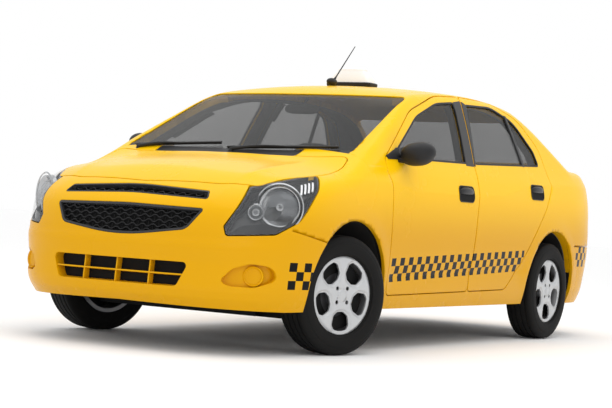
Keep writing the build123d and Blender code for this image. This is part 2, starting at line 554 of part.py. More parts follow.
# ---- Outside fittings ----
over_roof = cabin_form(-PANE_GAP)
proud = cabin_form(-14) - cabin_form(5 - PANE_GAP)
blades = []
for x0, x1 in ((-640, -60), (20, 640)):
    z0, z1 = 1035, 1062
    rows = [(x0, z0, 0), (x1, z1, 0), (x1, z1 + 14, 0), (x0, z0 + 14, 0)]
    blades += (proud & end_prism(rows, -1500, -900)).solids()
write("wipers", *blades)
sign_y = 20
base = box(-155, 155, sign_y - 60, sign_y + 60, 1490, 1524)
hood = Pos(0, sign_y, 1524) * extrude(Rectangle(296, 104), amount=88, taper=17)
write("roof_sign", (base - over_roof) + hood)
foot = Pos(0, -219, 1504) * Cone(30, 14, 44) - over_roof
mast_dir = (0, 250, 236)
mast = extrude(Plane(origin=(0, -219, 1510), z_dir=mast_dir) * Circle(3), amount=hypot(250, 236))
write("antenna", foot + (mast - over_roof))
w, h = PLATE_HALF_W - 2, PLATE_HALF_H - 2
plate = box(-w, w, NOSE_Y, NOSE_Y + PLATE_T, FRONT_PLATE_Z - h, FRONT_PLATE_Z + h)
write("number_plates", plate, box(-w, w, TAIL_Y - PLATE_T, TAIL_Y, REAR_PLATE_Z - h, REAR_PLATE_Z + h))
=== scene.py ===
import bpy
import numpy as np
from math import radians, sin, cos, tan, pi, hypot
from mathutils import Matrix, Vector
from mathutils.geometry import delaunay_2d_cdt


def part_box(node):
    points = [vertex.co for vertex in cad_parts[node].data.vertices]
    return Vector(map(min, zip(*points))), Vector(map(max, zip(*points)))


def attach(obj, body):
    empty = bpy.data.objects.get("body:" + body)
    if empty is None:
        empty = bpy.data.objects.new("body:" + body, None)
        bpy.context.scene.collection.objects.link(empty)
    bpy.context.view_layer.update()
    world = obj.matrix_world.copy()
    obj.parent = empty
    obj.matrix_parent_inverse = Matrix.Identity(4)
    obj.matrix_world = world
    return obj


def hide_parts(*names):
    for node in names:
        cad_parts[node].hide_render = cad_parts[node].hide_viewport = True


# A yellow saloon taxi in metres: +Z up, the front faces -Y, the car's left is +X.
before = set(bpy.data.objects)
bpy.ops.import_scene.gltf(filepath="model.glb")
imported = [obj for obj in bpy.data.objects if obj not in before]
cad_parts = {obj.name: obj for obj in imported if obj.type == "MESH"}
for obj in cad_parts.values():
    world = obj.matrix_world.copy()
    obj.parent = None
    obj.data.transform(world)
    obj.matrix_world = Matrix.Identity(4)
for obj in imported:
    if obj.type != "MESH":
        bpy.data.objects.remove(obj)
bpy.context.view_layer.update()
print("stage: frame loaded")

frontAxle, rearAxle, archHeight = -1.380, 1.240, .318
halfSeam = .0025


# Curves and blends used by every surface.
def curveThrough(rows):
    # piecewise cubic through (input, output) rows, slopes from the neighbours' harmonic mean,
    # straight on beyond the ends
    x, y = np.array(rows, float).T
    h, d = np.diff(x), np.diff(y) / np.diff(x)
    m = np.concatenate([d[:1], np.zeros(len(x) - 2), d[-1:]])
    same = d[1:] * d[:-1] > 0
    w1, w2 = 2 * h[1:] + h[:-1], h[1:] + 2 * h[:-1]
    m[1:-1] = np.where(same, (w1 + w2) / (w1 / np.where(same, d[:-1], 1) + w2 / np.where(same, d[1:], 1)), 0)

    def value(t):
        t = np.asarray(t, float)
        i = np.clip(np.searchsorted(x, t) - 1, 0, len(h) - 1)
        s = np.clip((t - x[i]) / h[i], 0, 1)
        a = (2 * s**3 - 3 * s**2 + 1) * y[i] + (s**3 - 2 * s**2 + s) * h[i] * m[i]
        b = (3 * s**2 - 2 * s**3) * y[i + 1] + (s**3 - s**2) * h[i] * m[i + 1]
        return a + b + np.minimum(t - x[0], 0) * m[0] + np.maximum(t - x[-1], 0) * m[-1]
    return value


def softMax(a, b, k):
    # the larger of two fields, rounded by a quarter of k where they meet
    h = np.maximum(k - np.abs(a - b), 0) / k
    return np.maximum(a, b) + h * h * k / 4


def softMin(a, b, k):
    # the smaller of two fields, rounded in the same way
    return -softMax(-a, -b, k)


def ramp(t, low, high):
    # 0 below low, 1 above high, smooth between
    s = np.clip((t - low) / (high - low), 0, 1)
    return s * s * (3 - 2 * s)


# The car's outer form: one field, zero on the skin and negative inside.
bodyForm = {
    "side": [(.10, .790), (.20, .806), (.26, .828), (.32, .842), (.40, .849), (.50, .8585), (.60, .865), (.70, .8675),
             (.80, .8665), (.88, .861), (.95, .848), (1.0, .832), (1.05, .812), (1.22, .748), (1.42, .665),
             (1.50, .630)],
    "shoulder": [(-2.0, .875), (-1.62, .89), (-1.0, .905), (-.86, .895), (-.69, .868), (-.42, .866), (.05, .872),
                 (.40, .886), (.55, .905), (.68, .935), (.80, .958), (1.0, .975), (1.23, .985), (1.81, .995)],
    "shoulderRise": .0055, "shoulderWidth": .045,
    "noseLine": [(.20, -2.150), (.236, -2.180), (.285, -2.222), (.33, -2.236), (.45, -2.226), (.52, -2.231),
                 (.575, -2.224), (.64, -2.205), (.709, -2.182), (.76, -2.145), (.811, -2.085), (.85, -2.02),
                 (.90, -1.93)],
    "tailLine": [(.20, 2.13), (.25, 2.16), (.40, 2.216), (.56, 2.236), (.60, 2.234), (.75, 2.214), (.95, 2.196),
                 (1.05, 2.188)],
    "ledge": .009, "ledgeFoot": .532, "ledgeTop": .572, "noseStart": -1.48, "tailStart": 1.40, "nosePower": 3.05,
    "tailPower": 3.8, "hullTop": [(-2.40, .56), (-2.20, .745), (-2.12, .814), (-2.02, .868), (-1.90, .911),
                                  (-1.68, .963), (-1.38, 1.013),
                (-1.19, 1.046), (-.60, 1.08), (1.65, 1.130), (2.00, 1.122), (2.10, 1.108), (2.17, 1.080),
                (2.30, 1.0)],
    "roof": [(-1.2, 1.26), (-.80, 1.385), (-.60, 1.434), (-.40, 1.464), (-.10, 1.494), (.15, 1.508), (.38, 1.512),
             (.65, 1.504), (.90, 1.479), (1.10, 1.437), (1.30, 1.38), (1.60, 1.27)],
    "roofCrown": 4.9, "bonnetCrown": 4.4,
}
sideCurve = curveThrough(bodyForm["side"])
shoulderCurve = curveThrough(bodyForm["shoulder"])
noseCurve = curveThrough(bodyForm["noseLine"])
tailCurve = curveThrough(bodyForm["tailLine"])
hullCurve = curveThrough(bodyForm["hullTop"])
roofCurve = curveThrough(bodyForm["roof"])


def halfWidth(y, z):
    # side curve over height, plus a sharp low ridge along the shoulder, a swell round each wheel arch
    # and a fold over the sill
    f = bodyForm
    s = z - shoulderCurve(y)
    ridge = f["shoulderRise"] * np.exp(-(np.sqrt(s * s + .003**2) - .003) / f["shoulderWidth"])
    swell = 0
    for axle in (frontAxle, rearAxle):
        r = np.hypot(y - axle, z - archHeight)
        swell = swell + .007 * np.exp(-np.maximum(r - .385, 0)**2 / .055**2) * ramp(z, .25, .45)
    low = z - .405 - .02 * (y + .95)
    fold = -.010 * np.exp(-(np.sqrt(low * low + .006**2) - .006) / .03) * ramp(y, -1.02, -.90) * ramp(-y, -.86, -.70)
    return sideCurve(z) + ridge + swell + fold


def ringField(x, y, z):
    # side, nose and tail as one superellipse in plan, its front and rear reach set by the centre lines
    f = bodyForm
    nose = np.minimum(noseCurve(z), -1.75) - f["ledge"] * (1 - ramp(z, f["ledgeFoot"], f["ledgeTop"]))
    front = np.maximum(f["noseStart"] - y, 0) / (f["noseStart"] - nose)
    rear = np.maximum(y - f["tailStart"], 0) / (np.maximum(tailCurve(z), 2.0) - f["tailStart"])
    across = x / halfWidth(y, z)
    p = np.where(y < 0, f["nosePower"], f["tailPower"])
    return ((across**p + front**p + rear**p)**(1 / p) - 1) * .86


def form(p):
    # rounded maximum of the ring in plan and the upper field, itself the rounded minimum of deck and cabin
    f = bodyForm
    x, y, z = np.abs(p[..., 0]), p[..., 1], p[..., 2]
    ring = ringField(x, y, z)
    crease = .010 * np.exp(-(np.sqrt((x - .50 - .10 * (y + 2.0))**2 + .008**2) - .008) / .05) * ramp(-y, 1.15, 1.5)
    crown = hullCurve(y) - x * x / 2 / f["bonnetCrown"] * ramp(-y, 1.0, 1.2)
    deck = z - (crown - x * x * .06 * ramp(y, 1.2, 1.5) + crease)
    roof = z - (roofCurve(y) - x * x / 2 / f["roofCrown"])
    screen = (-1.432 + (z - .985) * 828 / 408 + 3.3 - np.sqrt(3.3**2 - x * x) - y) * .442
    rearScreen = (y - (1.975 - (z - .985) * 590 / 300 - 2.6 + np.sqrt(2.6**2 - x * x))) * .453
    cabin = softMax(softMax(roof, screen, .05), rearScreen, .05)
    upper = softMin(deck, cabin, .035)
    k = .085 - .03 * ramp(z, 1.0, 1.1)
    return softMax(ring, upper, k)


def slopeOf(p):
    # the field's gradient by small steps, which is the skin's normal
    g = np.stack([form(p + e) - form(p - e) for e in np.eye(3) * 5e-4], -1)
    return g / np.maximum(np.linalg.norm(g, axis=-1, keepdims=True), 1e-9)


def xyz(x, y, z):
    # three numbers or arrays as one array of points
    return np.stack(np.broadcast_arrays(x, y, z), -1)


def meetForm(start, way, reach):
    # the last point along each ray, from start over reach, that is still inside the field: coarse steps, then halving
    way = np.broadcast_to(np.asarray(way, float), start.shape)
    t = np.linspace(0, reach, 34)
    inside = form(start[:, None, :] + way[:, None, :] * t[None, :, None]) < 0
    last = np.where(inside.any(1), inside.shape[1] - 1 - np.argmax(inside[:, ::-1], 1), 0)
    lo, hi = t[last], t[np.minimum(last + 1, len(t) - 1)]
    for _ in range(14):
        mid = (lo + hi) / 2
        within = form(start + way * mid[:, None]) < 0
        lo, hi = np.where(within, mid, lo), np.where(within, hi, mid)
    return start + way * ((lo + hi) / 2)[:, None]


# Charts: two numbers to a point on the skin, and back.
def sideChart(uv):
    # (y, z): out along X
    return meetForm(xyz(0, *uv.T), [1, 0, 0], 1.1)


def topChart(uv):
    # (x, y): up along Z from inside the car
    return meetForm(xyz(*uv.T, .55), [0, 0, 1], 1.15)


wrapCentre = {"nose": -1.30, "tail": 1.45, "scale": .85}


def wrapChart(uv, centre, way):
    # (turn about an upright axis times scale, z): outwards and level
    turn = uv[:, 0] / wrapCentre["scale"]
    return meetForm(xyz(0, centre, uv[:, 1]), xyz(np.sin(turn), way * np.cos(turn), 0), 1.2)


def wrapBack(p, centre, way):
    # the turn is the angle of the point about the axis, times scale
    return np.column_stack([np.arctan2(p[:, 0], way * (p[:, 1] - centre)) * wrapCentre["scale"], p[:, 2]])


def noseChart(uv):
    # turned about the axis behind the nose
    return wrapChart(uv, wrapCentre["nose"], -1)


def tailChart(uv):
    # turned about the axis before the tail
    return wrapChart(uv, wrapCentre["tail"], 1)


def toNose(p):
    # noseChart the other way
    return wrapBack(p, wrapCentre["nose"], -1)


def toTail(p):
    # tailChart the other way
    return wrapBack(p, wrapCentre["tail"], 1)


# Outlines.
def rounded(rows, step=.009):
    # closed outline of (u, v, corner radius) rows in millimetres: straight runs and corner arcs, divided evenly
    pts = [np.array(r[:2]) / 1000 for r in rows]
    radii = [(r[2] if len(r) > 2 else 0) / 1000 for r in rows]
    out = []
    for k, corner in enumerate(pts):
        before, after = pts[k - 1], pts[(k + 1) % len(pts)]
        a, b = before - corner, after - corner
        la, lb = np.linalg.norm(a), np.linalg.norm(b)
        a, b = a / la, b / lb
        turn = pi - np.arccos(np.clip(a @ b, -1, 1))
        reach = min(radii[k] * tan(turn / 2), .49 * la, .49 * lb)
        if reach < .0008:
            out.append([corner])
            continue
        n = max(3, int(turn * reach / tan(turn / 2) / step) + 2)
        s = np.linspace(0, 1, n)[:, None]
        r = reach / tan(turn / 2)
        middle = corner + (a + b) / np.linalg.norm(a + b) * hypot(r, reach)
        start, end = corner + a * reach - middle, corner + b * reach - middle
        w0, w1 = np.sin((1 - s) * turn) / sin(turn), np.sin(s * turn) / sin(turn)
        out.append(middle + start * w0 + end * w1)
    corners = np.concatenate([np.array(o).reshape(-1, 2) for o in out])
    return divided(corners, step)


def divided(loop, step=.009):
    # the same closed loop with no run longer than step
    loop = np.asarray(loop, float)
    nxt = np.roll(loop, -1, 0)
    n = np.maximum(np.ceil(np.linalg.norm(nxt - loop, axis=1) / step).astype(int), 1)
    return np.concatenate([a + (b - a) * (np.arange(k) / k)[:, None] for a, b, k in zip(loop, nxt, n)])


def area(loop):
    # half the sum of the cross products round the loop; positive when it turns to the left
    nxt = np.roll(loop, -1, 0)
    return np.sum(loop[:, 0] * nxt[:, 1] - nxt[:, 0] * loop[:, 1]) / 2


def inset(loop, distance):
    # every point moved to the left of the way round, by distance
    back, on = loop - np.roll(loop, 1, 0), np.roll(loop, -1, 0) - loop
    back /= np.maximum(np.linalg.norm(back, axis=1, keepdims=True), 1e-9)
    on /= np.maximum(np.linalg.norm(on, axis=1, keepdims=True), 1e-9)
    n = np.column_stack([-(back + on)[:, 1], (back + on)[:, 0]])
    n /= np.maximum(np.linalg.norm(n, axis=1, keepdims=True), 1e-9)
    share = np.clip(1 / np.maximum(np.abs(n[:, 0] * -on[:, 1] + n[:, 1] * on[:, 0]), .5), 1, 1.6)
    return loop + n * (distance * share)[:, None]


def insideOf(p, loop):
    # crossing count of a level ray, for whole arrays of points
    a, b = loop, np.roll(loop, -1, 0)
    cross = (a[None, :, 1] > p[:, None, 1]) != (b[None, :, 1] > p[:, None, 1])
    dy = np.where(np.abs(b[:, 1] - a[:, 1]) < 1e-12, 1e-12, b[:, 1] - a[:, 1])
    at = a[None, :, 0] + (p[:, None, 1] - a[None, :, 1]) / dy[None] * (b[:, 0] - a[:, 0])[None]
    return (np.sum(cross & (p[:, None, 0] < at), 1) % 2) == 1


def farFrom(p, loop, distance):
    # true where the nearest point of the loop is further off than distance
    keep = np.ones(len(p), bool)
    for part in np.array_split(np.arange(len(p)), max(1, len(p) * len(loop) // 4000000 + 1)):
        keep[part] = (np.min(np.sum((p[part, None] - loop[None])**2, -1), 1) > distance**2) if len(part) else True
    return keep


# Making objects.
def newObject(name, verts, faces, material, body, normals=None, hides=(), slot=None, sharp=None):
    # one mesh object that rides on a body, replaces the CAD nodes in hides and has its material in one slot; slot is
    # not used
    mesh = bpy.data.meshes.new(name)
    mesh.from_pydata(np.asarray(verts).tolist(), [], asLists(faces))
    mesh.shade_smooth()
    if sharp is not None:
        mesh.set_sharp_from_angle(angle=radians(sharp))
    if normals is not None:
        mesh.normals_split_custom_set_from_vertices(np.asarray(normals).tolist())
    mesh.materials.append(material)
    obj = bpy.data.objects.new(name, mesh)
    bpy.context.scene.collection.objects.link(obj)
    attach(obj, body)
    if hides:
        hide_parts(*hides)
    return obj


def gridFaces(rows, cols, closeRows=False, closeCols=False):
    # quads of a grid whose points run row by row
    r = np.arange(rows if closeRows else rows - 1)
    c = np.arange(cols if closeCols else cols - 1)
    r, c = np.meshgrid(r, c, indexing="ij")
    r2, c2 = (r + 1) % rows, (c + 1) % cols
    return np.stack([r * cols + c, r2 * cols + c, r2 * cols + c2, r * cols + c2], -1).reshape(-1, 4)


def endFaces(rows, n):
    # the first and the last ring of a grid with rows rings of n points
    last = (rows - 1) * n
    return [list(range(n))[::-1], [last + k for k in range(n)]]


def asLists(faces):
    # faces as plain lists
    return faces.tolist() if hasattr(faces, "tolist") else faces


def joined(parts):
    # several (points, faces) as one
    verts, faces, n = [], [], 0
    for v, f in parts:
        verts.append(np.asarray(v).reshape(-1, 3))
        faces += [[i + n for i in face] for face in asLists(f)]
        n += len(verts[-1])
    return np.concatenate(verts), faces


def skinMesh(loops, chart, toChart, keep, thick=.018, edge=.003, step=.022, lift=0.0, slope=slopeOf):
    # the part of the skin that keep() accepts, cut along loops of points on the skin: a triangle net whose edges
    # round off by a quarter circle of radius edge, with side walls and an inner face
    flat = [toChart(loop) for loop in loops]
    rings = [inset(loop, d) for loop in flat for d in (0, edge * .3, edge, -edge * .3, -edge)]
    low, high = np.concatenate(flat).min(0), np.concatenate(flat).max(0)
    gu, gv = np.meshgrid(np.arange(low[0], high[0], step), np.arange(low[1], high[1], step * .87))
    gu = gu + (np.arange(len(gu)) % 2)[:, None] * step / 2
    grid = np.column_stack([gu.ravel(), gv.ravel()])
    grid = grid[keep(chart(grid))]
    for loop in flat:
        grid = grid[farFrom(grid, loop, edge + step * .45)]
    points = np.concatenate(rings + [grid])
    edges, n = [], 0
    for ring in rings:
        i = np.arange(len(ring)) + n
        edges += np.column_stack([i, np.roll(i, -1)]).tolist()
        n += len(ring)
    out = delaunay_2d_cdt([Vector(q) for q in points.tolist()], edges, [], 0, 1e-7)
    uv, faces = np.array([tuple(q) for q in out[0]]), np.array(out[2])
    size = np.abs(np.cross(uv[faces[:, 1]] - uv[faces[:, 0]], uv[faces[:, 2]] - uv[faces[:, 0]]))
    faces = faces[size > 1e-10]
    faces = faces[keep(chart(uv[faces].mean(1)))]
    used, index = np.unique(faces, return_inverse=True)
    uv, faces = uv[used], index.reshape(-1, 3)
    p = chart(uv)
    normal = slope(p)
    tri = p[faces]
    if np.sum(np.cross(tri[:, 1] - tri[:, 0], tri[:, 2] - tri[:, 0]) * normal[faces[:, 0]]) < 0:
        faces = faces[:, ::-1]
    pairs = np.concatenate([faces[:, [0, 1]], faces[:, [1, 2]], faces[:, [2, 0]]])
    codes = np.sort(pairs, 1) @ [len(uv), 1]
    _, first, times = np.unique(codes, return_index=True, return_counts=True)
    rim = pairs[first[times == 1]]
    a, b = uv[rim[:, 0]], uv[rim[:, 1]]
    near, away = np.full(len(uv), 1.0), np.zeros((len(uv), 2))
    for part in np.array_split(np.arange(len(uv)), len(uv) * len(rim) // 3000000 + 1):
        t = np.clip(np.sum((uv[part, None] - a) * (b - a), -1) / np.maximum(np.sum((b - a)**2, -1), 1e-12), 0, 1)
        gap = a + (b - a) * t[..., None] - uv[part, None]
        closest = np.argmin(np.sum(gap**2, -1), 1)
        away[part] = gap[np.arange(len(part)), closest]
        near[part] = np.linalg.norm(away[part], axis=1)
    turned = (b - a)[:, ::-1] * [1, -1]
    if np.cross(uv[faces[0, 1]] - uv[faces[0, 0]], uv[faces[0, 2]] - uv[faces[0, 0]]) < 0:
        turned = -turned
    turned /= np.maximum(np.linalg.norm(turned, axis=1, keepdims=True), 1e-12)
    atRim = np.zeros((len(uv), 2))
    np.add.at(atRim, rim[:, 0], turned)
    np.add.at(atRim, rim[:, 1], turned)
    onRim = near < 1e-6
    away[onRim] = atRim[onRim]
    away /= np.maximum(np.linalg.norm(away, axis=1, keepdims=True), 1e-12)
    lean = np.clip((edge - near) / edge, 0, 1)[:, None]
    depth = edge * (1 - np.sqrt(1 - lean**2))
    du = (chart(uv + [.002, 0]) - p) / .002
    dv = (chart(uv + [0, .002]) - p) / .002
    side = du * away[:, :1] + dv * away[:, 1:]
    side -= normal * np.sum(side * normal, -1, keepdims=True)
    side /= np.maximum(np.linalg.norm(side, axis=1, keepdims=True), 1e-9)
    top = p + normal * (lift - depth)
    bottom = p + normal * (lift - thick)
    count = len(uv)
    walls = np.column_stack([rim[:, 0], rim[:, 0] + count, rim[:, 1] + count, rim[:, 1]])
    outward = normal * np.sqrt(1 - lean**2) + side * lean
    return np.concatenate([top, bottom]), faces.tolist() + (faces[:, ::-1] + count).tolist() + walls.tolist(), \
        np.concatenate([outward, side * lean - normal * (1 - lean)])


def bothSides(mesh):
    # the mesh mirrored in the middle plane
    verts, faces, normals = mesh
    return verts * [-1, 1, 1], [f[::-1] for f in faces], normals * [-1, 1, 1]


def panel(name, body, mesh, material, hides=(), slot="body_paint"):
    # an object from a skin mesh with its own normals
    verts, faces, normals = mesh
    return newObject(name, verts, faces, material, body, normals, hides, slot)


# Materials.
def newMaterial(name, colour, rough=.5, metal=0.0, coat=0.0, alpha=1.0, specular=.5, sheen=0.0):
    # principled material with its node tree and its shader
    mat = bpy.data.materials.new(name)
    mat.use_nodes = True
    shader = mat.node_tree.nodes["Principled BSDF"]
    shader.inputs["Base Color"].default_value = (*colour, 1)
    shader.inputs["Roughness"].default_value = rough
    shader.inputs["Metallic"].default_value = metal
    shader.inputs["Coat Weight"].default_value = coat
    shader.inputs["Coat Roughness"].default_value = .03
    shader.inputs["Alpha"].default_value = alpha
    shader.inputs["Specular IOR Level"].default_value = specular
    shader.inputs["Sheen Weight"].default_value = sheen
    mat.diffuse_color = (*colour, alpha)
    return mat, mat.node_tree, shader


def node(tree, kind, **values):
    # a shader node with its settings or its inputs given by name
    n = tree.nodes.new(kind)
    for key, value in values.items():
        if hasattr(n, key):
            setattr(n, key, value)
        else:
            n.inputs[key.replace("_", " ")].default_value = value
    return n


def grainy(tree, shader, scale, colours=None, roughs=None, bump=0.0, distance=.001, detail=3.0):
    # noise on Object coordinates that varies colour between two values, roughness between two values, and height
    place = node(tree, "ShaderNodeTexCoord")
    noise = node(tree, "ShaderNodeTexNoise", Scale=scale, Detail=detail)
    tree.links.new(place.outputs["Object"], noise.inputs["Vector"])
    if colours:
        mix = node(tree, "ShaderNodeMix", data_type="RGBA")
        mix.inputs["A"].default_value = (*colours[0], 1)
        mix.inputs["B"].default_value = (*colours[1], 1)
        tree.links.new(noise.outputs["Fac"], mix.inputs["Factor"])
        tree.links.new(mix.outputs["Result"], shader.inputs["Base Color"])
    if roughs:
        spread = node(tree, "ShaderNodeMapRange")
        spread.inputs["To Min"].default_value, spread.inputs["To Max"].default_value = roughs
        tree.links.new(noise.outputs["Fac"], spread.inputs["Value"])
        tree.links.new(spread.outputs["Result"], shader.inputs["Roughness"])
    if bump:
        height = node(tree, "ShaderNodeBump", Strength=bump, Distance=distance)
        tree.links.new(noise.outputs["Fac"], height.inputs["Height"])
        tree.links.new(height.outputs["Normal"], shader.inputs["Normal"])


# low is painted shade: the paint turns from bright to low as z falls from the first height in fade to the second
paintLook = {"bright": (.93, .54, .002), "low": (.70, .35, .001), "paintedShadeFade": (.95, .58), "rough": (.24, .30),
             "coat": .10, "specular": .08, "peel": .012}


def paintedShadeByHeight(tree, shader, over=None):
    # painted shade: the paint goes from its bright colour to a darker one lower down; over is a colour and
    # the mask that it shows through
    place = node(tree, "ShaderNodeTexCoord")
    split = node(tree, "ShaderNodeSeparateXYZ")
    tree.links.new(place.outputs["Object"], split.inputs[0])
    paintedShadeFade = node(tree, "ShaderNodeMapRange", interpolation_type="SMOOTHSTEP")
    paintedShadeFade.inputs["From Min"].default_value, paintedShadeFade.inputs["From Max"].default_value = paintLook["paintedShadeFade"]
    tree.links.new(split.outputs["Z"], paintedShadeFade.inputs["Value"])
    mix = node(tree, "ShaderNodeMix", data_type="RGBA")
    mix.inputs["A"].default_value = (*paintLook["bright"], 1)
    mix.inputs["B"].default_value = (*paintLook["low"], 1)
    tree.links.new(paintedShadeFade.outputs["Result"], mix.inputs["Factor"])
    if over is None:
        tree.links.new(mix.outputs["Result"], shader.inputs["Base Color"])
        return
    colour, mask = over
    top = node(tree, "ShaderNodeMix", data_type="RGBA")
    tree.links.new(mix.outputs["Result"], top.inputs["A"])
    top.inputs["B"].default_value = (*colour, 1)
    tree.links.new(mask, top.inputs["Factor"])
    tree.links.new(top.outputs["Result"], shader.inputs["Base Color"])


def paintBase(name):
    # yellow lacquer: low coat, fine peel in roughness and height
    mat, tree, shader = newMaterial(name, paintLook["bright"], .27, coat=paintLook["coat"],
                                    specular=paintLook["specular"])
    grainy(tree, shader, 3.0, None, paintLook["rough"], paintLook["peel"], .0006, 8.0)
    return mat, tree, shader


def plainPaint():
    # lacquer with painted shade, darker lower down
    mat, tree, shader = paintBase("taxiYellow")
    paintedShadeByHeight(tree, shader)
    return mat


checks = {"column": .0499, "row": .0427, "slope": .0365, "startY": -.9949, "endY": .785, "bandFoot": .3725}


def checkedPaint(name, startY, endY, foot, slope, column, row, rows=3, first=0):
    # yellow with black squares: the parity of column and row numbers counted along the band, kept between its ends
    mat, tree, shader = paintBase(name)
    link = tree.links.new
    place = node(tree, "ShaderNodeTexCoord")
    split = node(tree, "ShaderNodeSeparateXYZ")
    link(place.outputs["Object"], split.inputs[0])

    def sums(operation, a, b=None, c=None):
        n = node(tree, "ShaderNodeMath", operation=operation)
        for k, value in enumerate((a, b, c)):
            if value is None:
                continue
            if isinstance(value, (int, float)):
                n.inputs[k].default_value = value
            else:
                link(value, n.inputs[k])
        return n.outputs[0]
    along = sums("MULTIPLY_ADD", split.outputs["Y"], 1 / column, -startY / column)
    lift = sums("MULTIPLY_ADD", split.outputs["Y"], -slope, slope * startY - foot)
    up = sums("MULTIPLY", sums("ADD", split.outputs["Z"], lift), 1 / row)
    parity = sums("MODULO", sums("ADD", sums("FLOOR", along), sums("FLOOR", up)), 2)
    dark = sums("GREATER_THAN", sums("ABSOLUTE", parity), .5)
    inRows = sums("MULTIPLY", sums("GREATER_THAN", up, 0), sums("LESS_THAN", up, rows))
    inSpan = sums("MULTIPLY", sums("GREATER_THAN", along, first), sums("LESS_THAN", split.outputs["Y"], endY))
    mask = sums("MULTIPLY", dark, sums("MULTIPLY", inRows, inSpan))
    # the yellow between the squares has the painted shade, darker lower down
    paintedShadeByHeight(tree, shader, ((.001, .001, .001), mask))
    return mat


def grainedMaterial(name, colour, rough, grain, **values):
    # a material with noise: grain holds scale, colours, roughness ends, height, its distance and the detail
    mat, tree, shader = newMaterial(name, colour, rough, **values)
    grainy(tree, shader, *grain)
    return mat


def mouldedPlastic(name, dark, light, scale=900, rough=(.42, .55), bump=.12):
    # fine moulded grain between a dark and a light shade
    return grainedMaterial(name, dark, rough[0], (scale, (dark, light), rough, bump, .0004, 4.0), specular=.25)


def rubber():
    # dull tyre black with a coarse grain
    grain = (60, ((.004, .004, .004), (.010, .0095, .009)), (.60, .8), .15, .0008, 6.0)
    return grainedMaterial("tyreRubber", (.012, .012, .012), .62, grain, specular=.15)


def silverPaint():
    # wheel silver with fine flakes
    grain = (1400, ((.46, .47, .48), (.56, .57, .58)), (.30, .42), .03, .0002, 2.0)
    return grainedMaterial("wheelSilver", (.50, .51, .52), .34, grain, metal=.55, coat=.3)


def tintedGlass(name, colour, alpha):
    # clear by its alpha, smooth
    return grainedMaterial(name, colour, .03, (5, None, (.02, .05)), alpha=alpha, specular=.5)


def cloth(name, dark, light):
    # woven seat cloth: two crossed fine bands bump the surface, noise varies its shade
    mat, tree, shader = newMaterial(name, dark, .9, sheen=.3)
    grainy(tree, shader, 40, (dark, light), (.82, .95))
    place = node(tree, "ShaderNodeTexCoord")
    height = node(tree, "ShaderNodeBump", Strength=.5, Distance=.0006)
    waves = []
    for way in ("X", "Z"):
        w = node(tree, "ShaderNodeTexWave", bands_direction=way, Scale=260.0)
        tree.links.new(place.outputs["Object"], w.inputs["Vector"])
        waves.append(w.outputs["Fac"])
    both = node(tree, "ShaderNodeMath", operation="MULTIPLY")
    tree.links.new(waves[0], both.inputs[0])
    tree.links.new(waves[1], both.inputs[1])
    tree.links.new(both.outputs[0], height.inputs["Height"])
    tree.links.new(height.outputs["Normal"], shader.inputs["Normal"])
    return mat


def brushed(name, colour, rough, metal=1.0):
    # metal whose shade and roughness vary a little
    grain = (30, (tuple(c * .82 for c in colour), colour), (rough * .85, rough * 1.25), .05, .0005, 5.0)
    return grainedMaterial(name, colour, rough, grain, metal=metal)


yellow = plainPaint()
doorYellow = checkedPaint("taxiYellowDoorChecks", checks["startY"], checks["endY"], checks["bandFoot"],
                          checks["slope"], checks["column"], checks["row"], first=1)
frontYellow = checkedPaint("taxiYellowFrontChecks", -1.947, -1.70, .338, 0, .0467, .0443, first=1)
rearYellow = checkedPaint("taxiYellowRearChecks", 1.635, 1.865, .467, 0, .0467, .046)
blackPlastic = mouldedPlastic("blackPlastic", (.010, .010, .011), (.020, .020, .021))
glossBlack = mouldedPlastic("glossBlack", (.006, .006, .007), (.010, .010, .011), 12, (.10, .16), .02)
darkTrim = mouldedPlastic("darkTrim", (.020, .020, .021), (.036, .036, .037), 500, (.6, .8))
whitePlastic = mouldedPlastic("whitePlastic", (.80, .80, .79), (.86, .86, .85), 30, (.25, .35), .03)
tyreBlack = rubber()
silver = silverPaint()
chrome = brushed("brightChrome", (.80, .81, .82), .10)
steel = brushed("bareSteel", (.34, .34, .35), .42)
castIron = brushed("castIron", (.10, .10, .105), .6, .7)
underPaint = mouldedPlastic("underbodyPaint", (.008, .008, .008), (.014, .013, .012), 25, (.7, .9), .3)
smokeGlass = tintedGlass("smokeGlass", (.004, .005, .005), .42)
screenGlass = tintedGlass("screenGlass", (.003, .004, .004), .40)
clearLens = tintedGlass("clearLens", (.30, .31, .32), .10)
redLens = tintedGlass("redLens", (.27, .001, .002), .97)
seatCloth = cloth("seatCloth", (.020, .021, .023), (.045, .046, .050))
print("stage: materials made")

